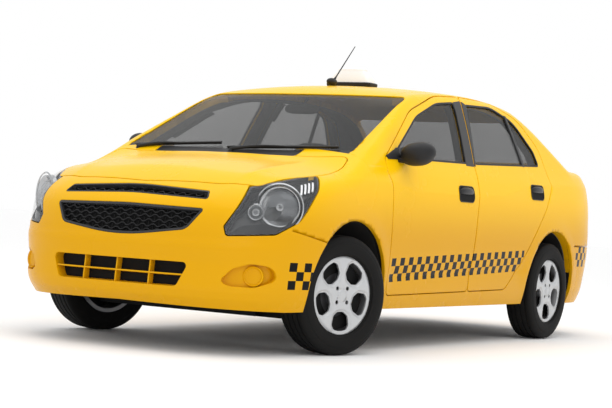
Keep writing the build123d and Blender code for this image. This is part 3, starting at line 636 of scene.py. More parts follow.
# Body panels.
doorOutlines = {
    "front": [(-970, 302, 40), (-984, 880, 200), (-1022, 960, 60), (-1022, 1030, 60), (-560, 1322, 500),
              (-160, 1440, 900), (186, 1463, 30), (104, 1060, 300), (70, 700, 900), (34, 315, 30)],
    "rear": [(36, 315, 30), (72, 700, 900), (106, 1060, 300), (188, 1463, 30), (620, 1468, 500),
             (960, 1385, 400), (1165, 1215, 150), (1205, 985, 60), (1090, 825, 500), (730, 455, 300),
             (560, 322, 120)],
    "frontWindow": [(-925, 1044, 12), (-500, 1292, 500), (-180, 1392, 600), (56, 1416, 12), (68, 1365, 60),
                    (-5, 1062, 12)],
    "rearWindow": [(122, 1064, 12), (240, 1417, 12), (600, 1432, 400), (880, 1362, 300), (1066, 1190, 60),
                   (1090, 1102, 20)],
}
frontOutlines = {
    "bonnetHalf": [(0, -2035, 0), (430, -2003, 300), (629, -1944, 60), (773, -1623, 900), (778, -1400, 300),
                   (742, -1266, 45), (560, -1328, 300), (300, -1372, 500), (0, -1385, 0)],
    "lamp": [(-138, 632, 8), (0, 835, 20), (375, 925, 20), (352, 832, 100), (252, 676, 200), (115, 602, 60),
             (-129, 586, 12)],
    "upperGrille": [(-446, 757, 8), (-422, 800, 15), (0, 822, 2000), (422, 800, 15), (446, 757, 8), (0, 773, 2000)],
    "lowerGrille": [(-455, 712, 12), (0, 722, 2000), (455, 712, 12), (380, 604, 60), (0, 552, 1500), (-380, 604, 60)],
    "intake": [(-415, 446, 20), (415, 446, 20), (360, 326, 30), (-360, 326, 30)],
    "fogPocket": [(566, 366, 20), (618, 428, 40), (690, 456, 60), (762, 446, 40), (776, 376, 40), (706, 340, 50),
                  (610, 344, 40)],
}


def archLoop(axle, radius=.375, n=60):
    # wheel arch circle in side view
    a = np.linspace(0, 2 * pi, n, endpoint=False)
    return np.column_stack([axle + radius * np.cos(a), archHeight + radius * np.sin(a)])


camera = {"x": 5.1354972, "y": -9.01181945, "z": .7166694, "azimuth": 30.832076, "elevation": -.516675,
          "roll": 3.378223, "focal": 1709.049, "shiftX": -3.151, "shiftY": -6.094, "width": 612}


def placeCamera():
    # the camera's axes from azimuth, elevation and roll; the shift is in parts of the picture's width
    a, e, r = radians(camera["azimuth"]), radians(camera["elevation"]), radians(camera["roll"])
    back = Vector((sin(a) * cos(e), -cos(a) * cos(e), sin(e)))
    right = Vector((0, 0, 1)).cross(back).normalized()
    up = back.cross(right)
    right2, up2 = cos(r) * right + sin(r) * up, -sin(r) * right + cos(r) * up
    data = bpy.data.cameras.new("camera")
    data.sensor_width = 36
    data.lens = camera["focal"] / camera["width"] * data.sensor_width
    data.shift_x, data.shift_y = camera["shiftX"] / camera["width"], camera["shiftY"] / camera["width"]
    data.clip_end = 200
    obj = bpy.data.objects.new("camera", data)
    obj.matrix_world = Matrix(((right2.x, up2.x, back.x, camera["x"]), (right2.y, up2.y, back.y, camera["y"]),
                               (right2.z, up2.z, back.z, camera["z"]), (0, 0, 0, 1)))
    bpy.context.scene.collection.objects.link(obj)
    bpy.context.scene.camera = obj


placeCamera()
studio = {"sky": 1.0, "key": 170, "fill": 30, "floor": (.985, .985, .985), "reach": 60}


def softLight(name, place, size, power, target=(0, 0, .6)):
    # rectangular lamp at place that faces target
    data = bpy.data.lights.new(name, "AREA")
    data.shape, data.size, data.size_y, data.energy = "RECTANGLE", size[0], size[1], power
    obj = bpy.data.objects.new(name, data)
    obj.location = place
    obj.rotation_euler = (Vector(target) - Vector(place)).to_track_quat("-Z", "Y").to_euler()
    bpy.context.scene.collection.objects.link(obj)


def placeStage():
    # white world, two soft lamps and a pale floor
    world = bpy.data.worlds.new("studio")
    world.use_nodes = True
    world.node_tree.nodes["Background"].inputs["Color"].default_value = (1, 1, 1, 1)
    world.node_tree.nodes["Background"].inputs["Strength"].default_value = studio["sky"]
    bpy.context.scene.world = world
    bpy.context.scene.view_settings.view_transform = "Standard"
    softLight("overhead", (1.0, -1.0, 6.5), (7, 9), studio["key"])
    softLight("frontFill", (4.5, -8.0, 3.5), (5, 3), studio["fill"])
    mesh = bpy.data.meshes.new("floor")
    s = studio["reach"]
    mesh.from_pydata([(-s, -s, 0), (s, -s, 0), (s, s, 0), (-s, s, 0)], [], [(0, 1, 2, 3)])
    mat, tree, shader = newMaterial("paleFloor", studio["floor"], .75)
    grainy(tree, shader, 2, (tuple(c * .995 for c in studio["floor"]), studio["floor"]))
    mesh.materials.append(mat)
    floor = bpy.data.objects.new("floor", mesh)
    bpy.context.scene.collection.objects.link(floor)


placeStage()
print("stage: camera, lights and floor placed")


# Lifting outlines onto the skin.
flank = {"x": .40, "z": .45,
         "rows": [(-.9, -.48), (-.6, -.30), (0, 0), (.905, .555), (1.304, 1.005), (1.418, 1.13), (1.7, 1.46)]}
flankOut = curveThrough([(v, a) for a, v in flank["rows"]])
flankIn = curveThrough(flank["rows"])


def flankChart(uv):
    # (y, length round the section from the side's middle): rays turn about a line along the car inside the flank
    turn = flankOut(uv[:, 1])
    return meetForm(xyz(flank["x"], uv[:, 0], flank["z"]), xyz(np.cos(turn), 0, np.sin(turn)), 1.35)


def toFlank(p):
    # y and the section length for the angle about the line inside the flank
    return np.column_stack([p[:, 1], flankIn(np.arctan2(p[:, 2] - flank["z"], p[:, 0] - flank["x"]))])


lidAxis = {"y": 1.78, "z": .80, "reach": .42}


def lidChart(uv):
    # (x, length round the lid): rays turn about a line across the car inside the boot
    turn = uv[:, 1] / lidAxis["reach"]
    return meetForm(xyz(uv[:, 0], lidAxis["y"], lidAxis["z"]), xyz(0, np.cos(turn), np.sin(turn)), 1.0)


def toLid(p):
    # x and the angle about the lid's line times its reach
    return np.column_stack([p[:, 0], np.arctan2(p[:, 2] - lidAxis["z"], p[:, 1] - lidAxis["y"]) * lidAxis["reach"]])


def toTop(p):
    # x and y
    return p[:, :2]


def toSide(p):
    # y and z
    return p[:, 1:]


def grownLoop(rows, grow=0, step=.009):
    # outline rows in millimetres to a closed loop in metres, moved outwards by grow
    loop = rounded(rows, step)
    return inset(loop, -grow * np.sign(area(loop)))


def screenPoint(uv, frontward=True):
    # (x, z) seen from the front or the rear, onto the windscreen, nose or tail
    return meetForm(xyz(uv[:, 0], -.25 if frontward else .60, uv[:, 1]), [0, -1 if frontward else 1, 0], 2.2)


def lampOut(rows):
    # (u, z) on an upright plane at 45 degrees through the front axle line, pushed out square to it onto the skin
    root = np.sqrt(.5)
    start = xyz(rows[:, 0] * root - .2, frontAxle + rows[:, 0] * root + .2, rows[:, 1])
    return meetForm(start, [root, -root, 0], 1.4)


def lampLoop(grow=0):
    # the lamp's outline on the skin, grown by grow
    return lampOut(grownLoop(frontOutlines["lamp"], grow))


def lampPlane(p):
    # skin points to (u, z) on the lamp's plane
    root = np.sqrt(.5)
    return np.column_stack([(p[:, 0] + p[:, 1] - frontAxle) * root, p[:, 2]])


def inLamp(p, grow=0):
    # inside the lamp's outline on either side of the car
    both = np.abs(p[:, :1]) * [1, 0, 0] + p * [0, 1, 1]
    return insideOf(lampPlane(both), grownLoop(frontOutlines["lamp"], grow))


def bonnetLoop(grow=0):
    # half outline of the bonnet and its mirror image as one loop, from above
    half = frontOutlines["bonnetHalf"]
    return grownLoop(half + [(-u, v, r) for u, v, r in half[::-1] if u], grow, .012)


def mirrorLoop(loop):
    # the same loop on the right side, turned the other way round
    return (loop * [-1, 1, 1])[::-1]


# Strips, shells and lofts.
def sectionRing(halfU, halfV, power, n):
    # superellipse ring: |u|^power + |v|^power = 1
    a = np.linspace(0, 2 * pi, n, endpoint=False)
    c, s = np.cos(a), np.sin(a)
    return np.column_stack([halfU * np.sign(c) * np.abs(c)**(2 / power), halfV * np.sign(s) * np.abs(s)**(2 / power)])


def loft(sections, n=48, power=4.0):
    # closed solid through level superellipse rings of (z, half x, half y, x, y), with flat ends
    rings = []
    for z, hx, hy, x, y in sections:
        ring = sectionRing(hx, hy, power, n)
        rings.append(xyz(ring[:, 0] + x, ring[:, 1] + y, z))
    faces = gridFaces(len(sections), n, closeCols=True)[:, ::-1].tolist() + endFaces(len(sections), n)
    return np.concatenate(rings), faces


def blob(half, power=(3.0, 3.0), n=(40, 20), middle=(0, 0, 0)):
    # rounded block: a superellipsoid with its own squareness across and up
    a = np.linspace(0, 2 * pi, n[0], endpoint=False)
    b = np.linspace(-pi / 2, pi / 2, n[1])
    b, a = np.meshgrid(b, a, indexing="ij")

    def bent(t, p):
        return np.sign(t) * np.abs(t)**(2 / p)
    x = half[0] * bent(np.cos(b), power[1]) * bent(np.cos(a), power[0])
    y = half[1] * bent(np.cos(b), power[1]) * bent(np.sin(a), power[0])
    z = half[2] * bent(np.sin(b), power[1])
    return np.stack([x, y, z], -1).reshape(-1, 3) + middle, gridFaces(n[1], n[0], closeCols=True)


def turned(profile, n=64, closed=True):
    # rows of (along, radius) turned about X
    a = np.linspace(0, 2 * pi, n, endpoint=False)
    p = np.asarray(profile, float)
    pts = np.stack([np.tile(p[:, :1], (1, n)), p[:, 1:] * np.cos(a), p[:, 1:] * np.sin(a)], -1)
    return pts.reshape(-1, 3), gridFaces(len(p), n, closeRows=closed, closeCols=True)[:, ::-1]


def tube(path, radius, n=12):
    # round bar along a line of points, with closed ends; radius is one value or one for each point
    p = np.asarray(path, float)
    r = np.broadcast_to(radius, len(p))
    way = np.gradient(p, axis=0)
    way /= np.linalg.norm(way, axis=1, keepdims=True)
    guide = np.array([0, 0, 1.]) if abs(way[0, 2]) < .9 else np.array([0, 1., 0])
    u = np.cross(way, guide)
    u /= np.linalg.norm(u, axis=1, keepdims=True)
    v = np.cross(u, way)
    a = np.linspace(0, 2 * pi, n, endpoint=False)
    c, s = np.cos(a)[None, :, None], np.sin(a)[None, :, None]
    rings = p[:, None] + r[:, None, None] * (u[:, None] * c + v[:, None] * s)
    return rings.reshape(-1, 3), gridFaces(len(p), n, closeCols=True).tolist() + endFaces(len(p), n)


def moved(shape, matrix=None, move=(0, 0, 0)):
    # points times matrix, plus move
    verts, faces = shape[:2]
    verts = np.asarray(verts, float)
    if matrix is not None:
        verts = verts @ np.asarray(matrix, float).T
    return verts + move, faces


def flipped(shape):
    # points and faces mirrored in the middle plane
    verts, faces = shape[:2]
    return np.asarray(verts) * [-1, 1, 1], [list(f)[::-1] for f in asLists(faces)]


def unchanged(shape):
    # the left side's shapes are used as they are
    return shape


# side name, what turns a skin to that side, what turns points and faces to it
sides = (("left", unchanged, unchanged), ("right", bothSides, flipped))


def turnAbout(axis, degrees):
    # rotation matrix
    return np.array(Matrix.Rotation(radians(degrees), 3, axis))


def barFaces(n):
    # faces of a bar with n square sections, ends closed
    return gridFaces(n, 4, closeCols=True).tolist() + [[0, 1, 2, 3], [4 * n - 1, 4 * n - 2, 4 * n - 3, 4 * n - 4]]


def stripOn(points, normals, width, out, inward, across=(0, 0, 1.)):
    # flat bar that follows points on the skin: width across, from out above the skin to inward below it
    side = np.broadcast_to(np.asarray(across, float), points.shape)
    side = side - normals * np.sum(side * normals, -1, keepdims=True)
    side /= np.linalg.norm(side, axis=1, keepdims=True)
    rings = np.stack([points + side * (width / 2) * s + normals * d for s, d in
                      ((1, out), (-1, out), (-1, -inward), (1, -inward))], 1)
    return rings.reshape(-1, 3), barFaces(len(points))


def ringOn(outlineRows, place, chart, toChart, wide, thick, lift, grow=0, flatOf=None, step=.02):
    # frame that follows an outline: between the outline grown by grow and the same one shrunk by wide
    outerLoop, innerLoop = grownLoop(outlineRows, grow), grownLoop(outlineRows, grow - wide)

    def keep(p):
        q = flatOf(p)
        return insideOf(q, outerLoop) & ~insideOf(q, innerLoop)
    return skinMesh([place(outerLoop), place(innerLoop)], chart, toChart, keep, thick=thick, edge=min(.002, wide / 4),
                    step=step, lift=lift)


def frontFlat(p):
    # x and z
    return p[:, [0, 2]]


def sidePatch(loop, **values):
    # the flank's skin inside one (y, z) outline
    return skinMesh([sideChart(loop)], sideChart, toSide, lambda p: insideOf(toSide(p), loop), **values)


def nosePatch(loop, **values):
    # the nose's skin inside one (x, z) outline
    return skinMesh([screenPoint(loop)], noseChart, toNose, lambda p: insideOf(frontFlat(p), loop), **values)


def topPatch(loop, **values):
    # the skin seen from above inside one (x, y) outline
    return skinMesh([topChart(loop)], topChart, toTop, lambda p: insideOf(toTop(p), loop), **values)


# Doors.
glassOutlines = {
    "windscreen": [(-733, 1014, 50), (-652, 1406, 50), (652, 1406, 50), (733, 1014, 50), (0, 1028, 2500)],
    "rear": [(-650, 1140, 60), (-560, 1390, 80), (560, 1390, 80), (650, 1140, 60)],
}


doorParts = {"frameIn": .040, "frameLift": -.0205, "frameThick": .040, "cardLift": -.061, "cardThick": .006,
             "seal": .012, "sealLift": .0012, "rearArch": .380}
doorTrims = {
    "front": [[(62, 1421, 6), (172, 1437, 6), (96, 1046, 4), (-10, 1046, 4), (62, 1365, 60)]],
    "rear": [[(186, 1437, 6), (238, 1420, 6), (124, 1062, 4), (120, 1048, 4), (107, 1048, 4)],
             [(770, 1400, 4), (800, 1392, 4), (858, 1084, 4), (828, 1084, 4)]],
}


def makeDoors():
    # skins are cut by outline and window; jamb, card, glass, seal and trims are the same skin moved inwards or out
    d = doorParts
    for row in ("front", "rear"):
        windowRows = doorOutlines[row + "Window"]

        def doorLayer(grow, windowGrow, archRadius, archPoints, spacing=.009, **values):
            edge = grownLoop(doorOutlines[row], grow, spacing)
            window = grownLoop(windowRows, windowGrow, spacing)
            arch = archLoop(rearAxle, archRadius, archPoints)

            def keep(p):
                yz = toSide(p)
                return insideOf(yz, edge) & ~insideOf(yz, window) & ~insideOf(yz, arch)
            loops = [sideChart(edge), sideChart(window)] + ([sideChart(arch)] if row == "rear" else [])
            return skinMesh(loops, sideChart, toSide, keep, **values)
        mesh = doorLayer(-halfSeam, 0, d["rearArch"], 60, thick=.020)
        jamb, card = [doorLayer(-d["frameIn"], .006, d["rearArch"] + .012, 40, .02, thick=d[part + "Thick"],
                                edge=.002, step=.06, lift=d[part + "Lift"]) for part in ("frame", "card")]
        glass = sidePatch(grownLoop(windowRows, -.0004), thick=.004, edge=.001, step=.04, lift=-.007)
        seal = ringOn(windowRows, sideChart, sideChart, toSide, d["seal"], .010, d["sealLift"], .006, toSide, .03)
        trims = [sidePatch(grownLoop(rows), thick=.012, edge=.002, step=.03, lift=.0025) for rows in doorTrims[row]]
        for side, turn, flip in sides:
            place = row + "_" + side
            body = "door_" + place
            panel("doorSkin_" + place, body, turn(mesh), doorYellow, (body,))
            panel("doorFrame_" + place, body, turn(jamb), darkTrim, slot="trim_plastic")
            panel("doorCard_" + place, body, turn(card), darkTrim, slot="trim_plastic")
            panel("doorGlass_" + place, body, turn(glass), smokeGlass, ("window_" + place,), "tinted_glass")
            panel("windowSeal_" + place, body, turn(seal), blackPlastic, slot="black_plastic")
            for k, trim in enumerate(trims):
                panel("pillarTrim_" + place + "_" + str(k), body, turn(trim), greyBlack, slot="black_plastic")


liningGrey = mouldedPlastic("liningGrey", (.11, .11, .108), (.15, .15, .147), 300, (.8, .9))
greyBlack = mouldedPlastic("pillarTrim", (.030, .030, .031), (.045, .045, .047), 600, (.40, .5))
makeDoors()
print("stage: doors made")


# Bonnet, wings and bumper.
def makeBonnet():
    # the skin inside the bonnet's outline seen from above
    loop = bonnetLoop(-halfSeam)
    mesh = skinMesh([topChart(loop)], topChart, toTop, lambda p: insideOf(p[:, :2], loop) & (p[:, 2] > .6),
                    thick=.022)
    panel("bonnetSkin", "bonnet", mesh, yellow, ("bonnet",))


def makeWings():
    # flank skin before the door, less bonnet, lamp, wheel arch, door and the pillar's foot
    bonnet = bonnetLoop(halfSeam)
    door = grownLoop(doorOutlines["front"], halfSeam)
    foot = divided([(-1.238, .99), (-.90, .99), (-.90, 1.3), (-1.238, 1.3)], .01)
    arch = archLoop(frontAxle)
    edge = grownLoop([(-1892, 624), (-1640, 572), (-1640, 228), (-970, 228), (-970, 900), (-1010, 1060),
                      (-1240, 1060), (-1300, 1100), (-2000, 1000), (-2000, 660)])
    loops = [sideChart(edge), topChart(bonnet), lampLoop(halfSeam), sideChart(arch), sideChart(door), sideChart(foot)]

    def keep(p):
        yz = p[:, 1:]
        return (insideOf(yz, edge) & ~insideOf(p[:, :2], bonnet) & ~inLamp(p, halfSeam) & ~insideOf(yz, arch)
                & ~insideOf(yz, door) & ~insideOf(yz, foot) & (p[:, 0] > .45))
    mesh = skinMesh(loops, flankChart, toFlank, keep)
    for side, turn, flip in sides:
        panel("wingSkin_" + side, "chassis", turn(mesh), yellow, ("front_wing_" + side,))


def makeBumper():
    # nose skin less bonnet, lamps, wheel arches, wings, grilles, intake and fog pockets
    bonnet = bonnetLoop(halfSeam)
    lamp = lampLoop(halfSeam)
    arch = archLoop(frontAxle)
    archSide = sideChart(arch)
    wing = sideChart(divided([(-1.90, .6235), (-1.889, .6215), (-1.630, .5675), (-1.20, .5675), (-1.20, 1.05),
                              (-1.90, 1.05)], .01))
    wingFlat = toSide(wing)
    outer = divided([(-1.05, .228), (-.80, .222), (0, .236), (.80, .222), (1.05, .228), (1.05, .95), (-1.05, .95)],
                    .01)
    openings = [grownLoop(frontOutlines[k]) for k in ("upperGrille", "lowerGrille", "intake")]
    frontLoops = [screenPoint(o) for o in openings]
    loops = [noseChart(outer), topChart(bonnet), lamp, mirrorLoop(lamp), archSide, mirrorLoop(archSide), wing,
             mirrorLoop(wing)]
    fog = grownLoop(frontOutlines["fogPocket"])
    frontLoops += [screenPoint(fog), screenPoint(fog * [-1, 1])]
    loops += frontLoops

    def keep(p):
        yz, uv = p[:, 1:], toNose(p)
        good = insideOf(uv, outer) & ~insideOf(p[:, :2], bonnet) & ~inLamp(p, halfSeam)
        good &= ~insideOf(yz, arch) & ~insideOf(yz, wingFlat)
        for o in openings:
            good &= ~insideOf(p[:, [0, 2]], o)
        return good & ~insideOf(np.column_stack([np.abs(p[:, 0]), p[:, 2]]), fog)
    mesh = skinMesh(loops, noseChart, toNose, keep, thick=.020)
    panel("bumperSkin", "chassis", mesh, frontYellow, ("front_bumper",))


makeBonnet()
makeWings()
makeBumper()
print("stage: bonnet, wings and bumper made")


# Body sides, roof, boot and rear bumper.
rearOutlines = {
    "tailLamp": [(1880, 1064, 30), (2400, 1064, 0), (2400, 832, 0), (1965, 832, 40)],
    "lidHalfWidth": .600, "lidFront": 1.690, "lidFoot": .606, "rail": .560, "bumperTop": .600, "bumperFront": 1.600,
    "sill": .228, "seam": .005, "bumperFoot": .222,
    "plateRecess": [(-262, 428, 8), (262, 428, 8), (262, 544, 8), (-262, 544, 8)],
    "pipeNotch": [(405, 150, 0), (475, 150, 0), (475, 250, 34), (405, 250, 34)],
}


def makeSides(name, material, doorGrow, lift, thick, step, edge, hides=True):
    # flank skin behind the front door's edge, less doors, arch, screens, boot lid, lamp and bumper;
    # deeper layers line it
    o = rearOutlines
    doorsOut = [grownLoop(doorOutlines[k], doorGrow) for k in ("front", "rear")]
    arches = [archLoop(frontAxle), archLoop(rearAxle)]
    screen, rear = grownLoop(glassOutlines["windscreen"]), grownLoop(glassOutlines["rear"])
    lamp = grownLoop(o["tailLamp"])
    cut = -.972
    foot = divided([(-1.241, .987), (-.90, .987), (-.90, 1.3), (-1.241, 1.3)], .01)
    bonnet = bonnetLoop(halfSeam)
    roofLine = topChart(divided([(o["rail"] + .001, -1.4), (o["rail"] + .001, 2.3), (.2, 2.3), (.2, -1.4)], .012))
    lidSide = o["lidHalfWidth"] + o["seam"]
    lidY = o["lidFront"] - o["seam"]
    lidLoop = topChart(divided([(.2, lidY), (lidSide, lidY), (lidSide, 2.19), (.2, 2.19)], .012))
    lidFoot = o["lidFoot"] - .005
    lidDown = screenPoint(divided([(.2, lidFoot), (lidSide, lidFoot), (lidSide, 1.07), (.2, 1.07)], .012), False)
    bumperFront, bumperTop = o["bumperFront"], o["bumperTop"] + halfSeam
    bumperBox = divided([(bumperFront, .05), (2.4, .05), (2.4, bumperTop), (bumperFront, bumperTop)], .01)
    bottom = divided([(-1.3, o["sill"]), (2.3, o["sill"]), (2.3, .1), (-1.3, .1)], .012)
    front = divided([(cut, .1), (cut, 1.55), (-1.35, 1.55), (-1.35, .1)], .012)
    loops = [sideChart(doorsOut[0]), sideChart(doorsOut[1]), sideChart(arches[1]), screenPoint(screen),
             screenPoint(rear, False), roofLine, lidLoop, lidDown, sideChart(bumperBox), sideChart(bottom),
             sideChart(front), sideChart(foot), sideChart(lamp), topChart(bonnet)]
    loops = [p[p[:, 0] > .10] for p in loops]

    def keep(p):
        yz, xz, xy = p[:, 1:], p[:, [0, 2]], p[:, :2]
        good = (p[:, 0] > o["rail"]) & (p[:, 2] > o["sill"])
        good &= (p[:, 1] > cut) | insideOf(yz, foot)
        for loop in (doorsOut[0], doorsOut[1], arches[1], lamp, bumperBox):
            good &= ~insideOf(yz, loop)
        good &= ~(insideOf(xz, screen) & (p[:, 1] < -.2)) & ~(insideOf(xz, rear) & (p[:, 1] > .8))
        good &= ~((p[:, 0] < lidSide) & (p[:, 1] > lidY)) & ~insideOf(xy, bonnet)
        return good
    mesh = skinMesh(loops, flankChart, toFlank, keep, thick=thick, lift=lift, step=step, edge=edge)
    for side, turn, flip in sides:
        panel(name + side, "chassis", turn(mesh), material, ("body_side_" + side,) if hides else ())


def makeRoof():
    # top skin between the rails, less the two screens, and a pane in each screen
    o = rearOutlines
    screen, rear = grownLoop(glassOutlines["windscreen"]), grownLoop(glassOutlines["rear"])
    rearEnd = o["lidFront"] - o["seam"]
    edge = divided([(-.559, -1.0), (.559, -1.0), (.559, rearEnd), (-.559, rearEnd)], .012)
    loops = [topChart(edge), screenPoint(screen), screenPoint(rear, False)]

    def keep(p):
        xz = p[:, [0, 2]]
        return (insideOf(p[:, :2], edge) & ~(insideOf(xz, screen) & (p[:, 1] < -.2))
                & ~(insideOf(xz, rear) & (p[:, 1] > .8)) & ((p[:, 2] > 1.38) | (p[:, 1] > 1.2)) & (p[:, 2] > 1.05))
    mesh = skinMesh(loops, topChart, toTop, keep, thick=.020, step=.03)
    panel("roofSkin", "chassis", mesh, yellow, ("roof_panel", "rear_shelf"))
    for name, rows, frontward, hidden, material in (
            ("windscreenGlass", glassOutlines["windscreen"], True, "windscreen", screenGlass),
            ("rearGlass", glassOutlines["rear"], False, "rear_window", smokeGlass)):
        pane = grownLoop(rows, -.0004)

        def chart(uv):
            return screenPoint(uv, frontward)
        glass = skinMesh([chart(pane)], chart, frontFlat, lambda p: insideOf(frontFlat(p), pane), thick=.004,
                         edge=.001, step=.04, lift=-.005)
        panel(name, "chassis", glass, material, (hidden,), "tinted_glass")


def makeBoot():
    # skin inside a rounded rectangle of width and length round the lid
    o = rearOutlines
    w, front = o["lidHalfWidth"], o["lidFront"]
    a = toLid(topChart(np.array([[0, front]])))[0, 1]
    b = toLid(screenPoint(np.array([[0, o["lidFoot"]]]), False))[0, 1]
    edge = grownLoop([(-w * 1000, b * 1000, 25), (w * 1000, b * 1000, 25), (w * 1000, a * 1000, 8),
                      (-w * 1000, a * 1000, 8)])
    mesh = skinMesh([lidChart(edge)], lidChart, toLid, lambda p: insideOf(toLid(p), edge), thick=.022)
    panel("bootSkin", "boot_lid", mesh, yellow, ("boot_lid",))


def makeRearBumper():
    # tail skin below the lid, less wheel arches, plate recess and exhaust notch
    o = rearOutlines
    arch = archLoop(rearAxle)
    archSide = sideChart(arch)
    top = o["bumperTop"] - halfSeam
    outer = divided([(-1.3, o["bumperFoot"]), (1.3, o["bumperFoot"]), (1.3, top), (-1.3, top)], .01)
    notch, pipe = grownLoop(o["plateRecess"]), grownLoop(o["pipeNotch"])
    loops = [tailChart(outer), archSide, mirrorLoop(archSide), screenPoint(notch, False), screenPoint(pipe, False)]

    def keep(p):
        yz, xz = p[:, 1:], p[:, [0, 2]]
        return (insideOf(toTail(p), outer) & ~insideOf(yz, arch) & ~insideOf(xz, notch)
                & ~(insideOf(xz, pipe) & (p[:, 1] > 1.9)) & (p[:, 1] > o["bumperFront"]))
    side = divided([(o["bumperFront"], .1), (o["bumperFront"], .7), (1.5, .7), (1.5, .1)], .01)
    loops += [sideChart(side), mirrorLoop(sideChart(side))]
    mesh = skinMesh(loops, tailChart, toTail, keep, thick=.020)
    panel("rearBumperSkin", "chassis", mesh, rearYellow, ("rear_bumper",))


sideLayers = [("bodySkin_", yellow, halfSeam, 0.0, .020, .022, .003, True),
              ("doorJamb_", yellow, -.020, -.024, .032, .06, .002, False),
              ("sideLining_", liningGrey, -.021, -.0565, .005, .06, .002, False)]
for layer in sideLayers:
    makeSides(*layer)
makeRoof()
makeBoot()
makeRearBumper()
print("stage: sides, roof, boot and rear bumper made")


# Headlamps.
lampLook = {"lensIn": .0025, "lensThick": .004, "rim": .010, "rimThick": .03, "backLift": -.088,
            "main": (.127, .737), "mainR": .098, "mainDepth": .058, "small": (.008, .706), "smallR": .036, "tilt": 28,
            "ribs": 4, "ribStart": (.268, .868), "ribStep": .022, "ribLength": .055,
            "chin": [(-125, 590, 4), (-60, 640, 40), (60, 655, 80), (160, 640, 60), (300, 745, 60), (330, 760, 10),
                     (252, 670, 200), (115, 606, 60)]}


def lampPoint(u, z):
    # one place of the lamp's plane on the skin
    return lampOut(np.array([[u, z]]))[0]


def bowlShape(radius, depth, rim, n=56):
    # reflector: a parabola from its rim to its middle, with a rounded lip outside; opens towards +X
    t = np.linspace(0, 1, 12)[1:]
    inner = [(-depth * (1 - q**2), radius * q) for q in t]
    lip = [(rim * .5 * (np.cos(a) - 1) + .001, radius + rim * .5 * np.sin(a)) for a in (.5, 1.2, 2.0, 2.7)]
    back = [(-depth * .6, radius + rim), (-depth * 1.25, radius * .55), (-depth * 1.25, .002), (-depth * 1.02, .002)]
    return turned(inner + lip + back, n)


def makeHeadlamps():
    # lens, rim, housing, wall and chin are the nose skin in the lamp's outline at several depths; bowls stand inside
    d = lampLook
    outerLoop, rimIn = lampLoop(-d["lensIn"]), lampLoop(-d["rim"])

    def inLens(p):
        return inLamp(p, -d["lensIn"]) & (p[:, 0] > 0)

    def lensLayer(loops, keep, **values):
        return skinMesh(loops, noseChart, toNose, keep, **values)
    lens = lensLayer([outerLoop], inLens, thick=d["lensThick"], edge=.002, step=.025)
    rim = lensLayer([outerLoop, rimIn], lambda p: inLens(p) & ~inLamp(p, -d["rim"]), thick=d["rimThick"], edge=.001,
                    lift=-.0045, step=.02)
    back = lensLayer([outerLoop], inLens, thick=.004, edge=.001, step=.03, lift=d["backLift"])
    wall = lensLayer([outerLoop, lampLoop(-.006)], lambda p: inLens(p) & ~inLamp(p, -.006), thick=.060, edge=.001,
                     lift=-.030, step=.03)
    chin = grownLoop(d["chin"])
    chinMesh = lensLayer([lampOut(chin)], lambda p: insideOf(lampPlane(p), chin) & inLens(p), thick=.004, edge=.001,
                         step=.025, lift=-.018)
    turn = turnAbout("Z", -90 + d["tilt"])
    out = turn @ np.array([1., 0, 0])
    bulb = turned([(-.006, .0005), (.004, .012), (.002, .018), (-.02, .022), (-.05, .022), (-.05, .0005)], 32)
    bowls, caps = [], []
    for place, radius, depth, sink, capSink in ((d["main"], d["mainR"], d["mainDepth"], .045, .062),
                                                (d["small"], d["smallR"], .03, .035, .05)):
        at = lampPoint(*place)
        bowls.append(moved(bowlShape(radius, depth, .008), turn, at - out * sink))
        caps.append(moved(bulb, turn, at - out * capSink))
    r = d["mainR"]
    ring = moved(turned([(0, r + .012), (.006, r + .016), (0, r + .022), (-.004, r + .016)], 64), turn,
                 lampPoint(*d["main"]) - out * .047)
    ribs = []
    for k in range(d["ribs"]):
        u0, z0 = d["ribStart"][0] + d["ribStep"] * k, d["ribStart"][1] + .006 * k
        line = np.array([lampPoint(u0 - .012 * t, z0 - d["ribLength"] * t) for t in np.linspace(0, 1, 8)])
        ribs.append(stripOn(line, slopeOf(line), .010, -.016, .03, across=(.7, .7, 0)))
    lampPieces = (("headlampBowl_", joined(bowls), lampChrome, 60), ("headlampCap_", joined(caps), lampCap, 40),
                  ("headlampRing_", ring, lampChrome, 60), ("headlampRibs_", joined(ribs), chrome, 30))
    for side, turn, flip in sides:
        panel("headlampLens_" + side, "chassis", turn(lens), clearLens, ("headlamps",) if side == "left" else (),
              "clear_lens")
        panel("headlampRim_" + side, "chassis", turn(rim), glossBlack, slot="clear_lens")
        panel("headlampHousing_" + side, "chassis", turn(back), lampGrey, slot="clear_lens")
        panel("headlampWall_" + side, "chassis", turn(wall), lampGrey, slot="clear_lens")
        panel("headlampChin_" + side, "chassis", turn(chinMesh), glossBlack, slot="clear_lens")
        for name, shape, material, sharp in lampPieces:
            newObject(name + side, *flip(shape), material, "chassis", slot="clear_lens", sharp=sharp)


lampGrey = brushed("lampHousing", (.085, .088, .09), .32, .6)
lampChrome = brushed("lampChrome", (.46, .47, .48), .14)
lampCap = brushed("lampCap", (.45, .46, .47), .15)
makeHeadlamps()


# Grilles, intake and fog pockets.
grilleLook = {"frame": .012, "upperFrame": .006, "frameLift": -.001, "frameThick": .022, "row": .0235, "wave": .0055,
              "waveLength": .062, "bar": .0042, "meshOut": -.012, "meshIn": .026, "backLift": -.032, "barZ": .386,
              "barX": (-.200, 0, .200), "barWide": .007}


def waveLine(x, z0):
    # a row of the net: flat top, slope, flat foot, slope
    t = (x / grilleLook["waveLength"]) % 1
    return z0 + grilleLook["wave"] * np.clip(np.abs(t - .5) * 8 - 2, -1, 1)


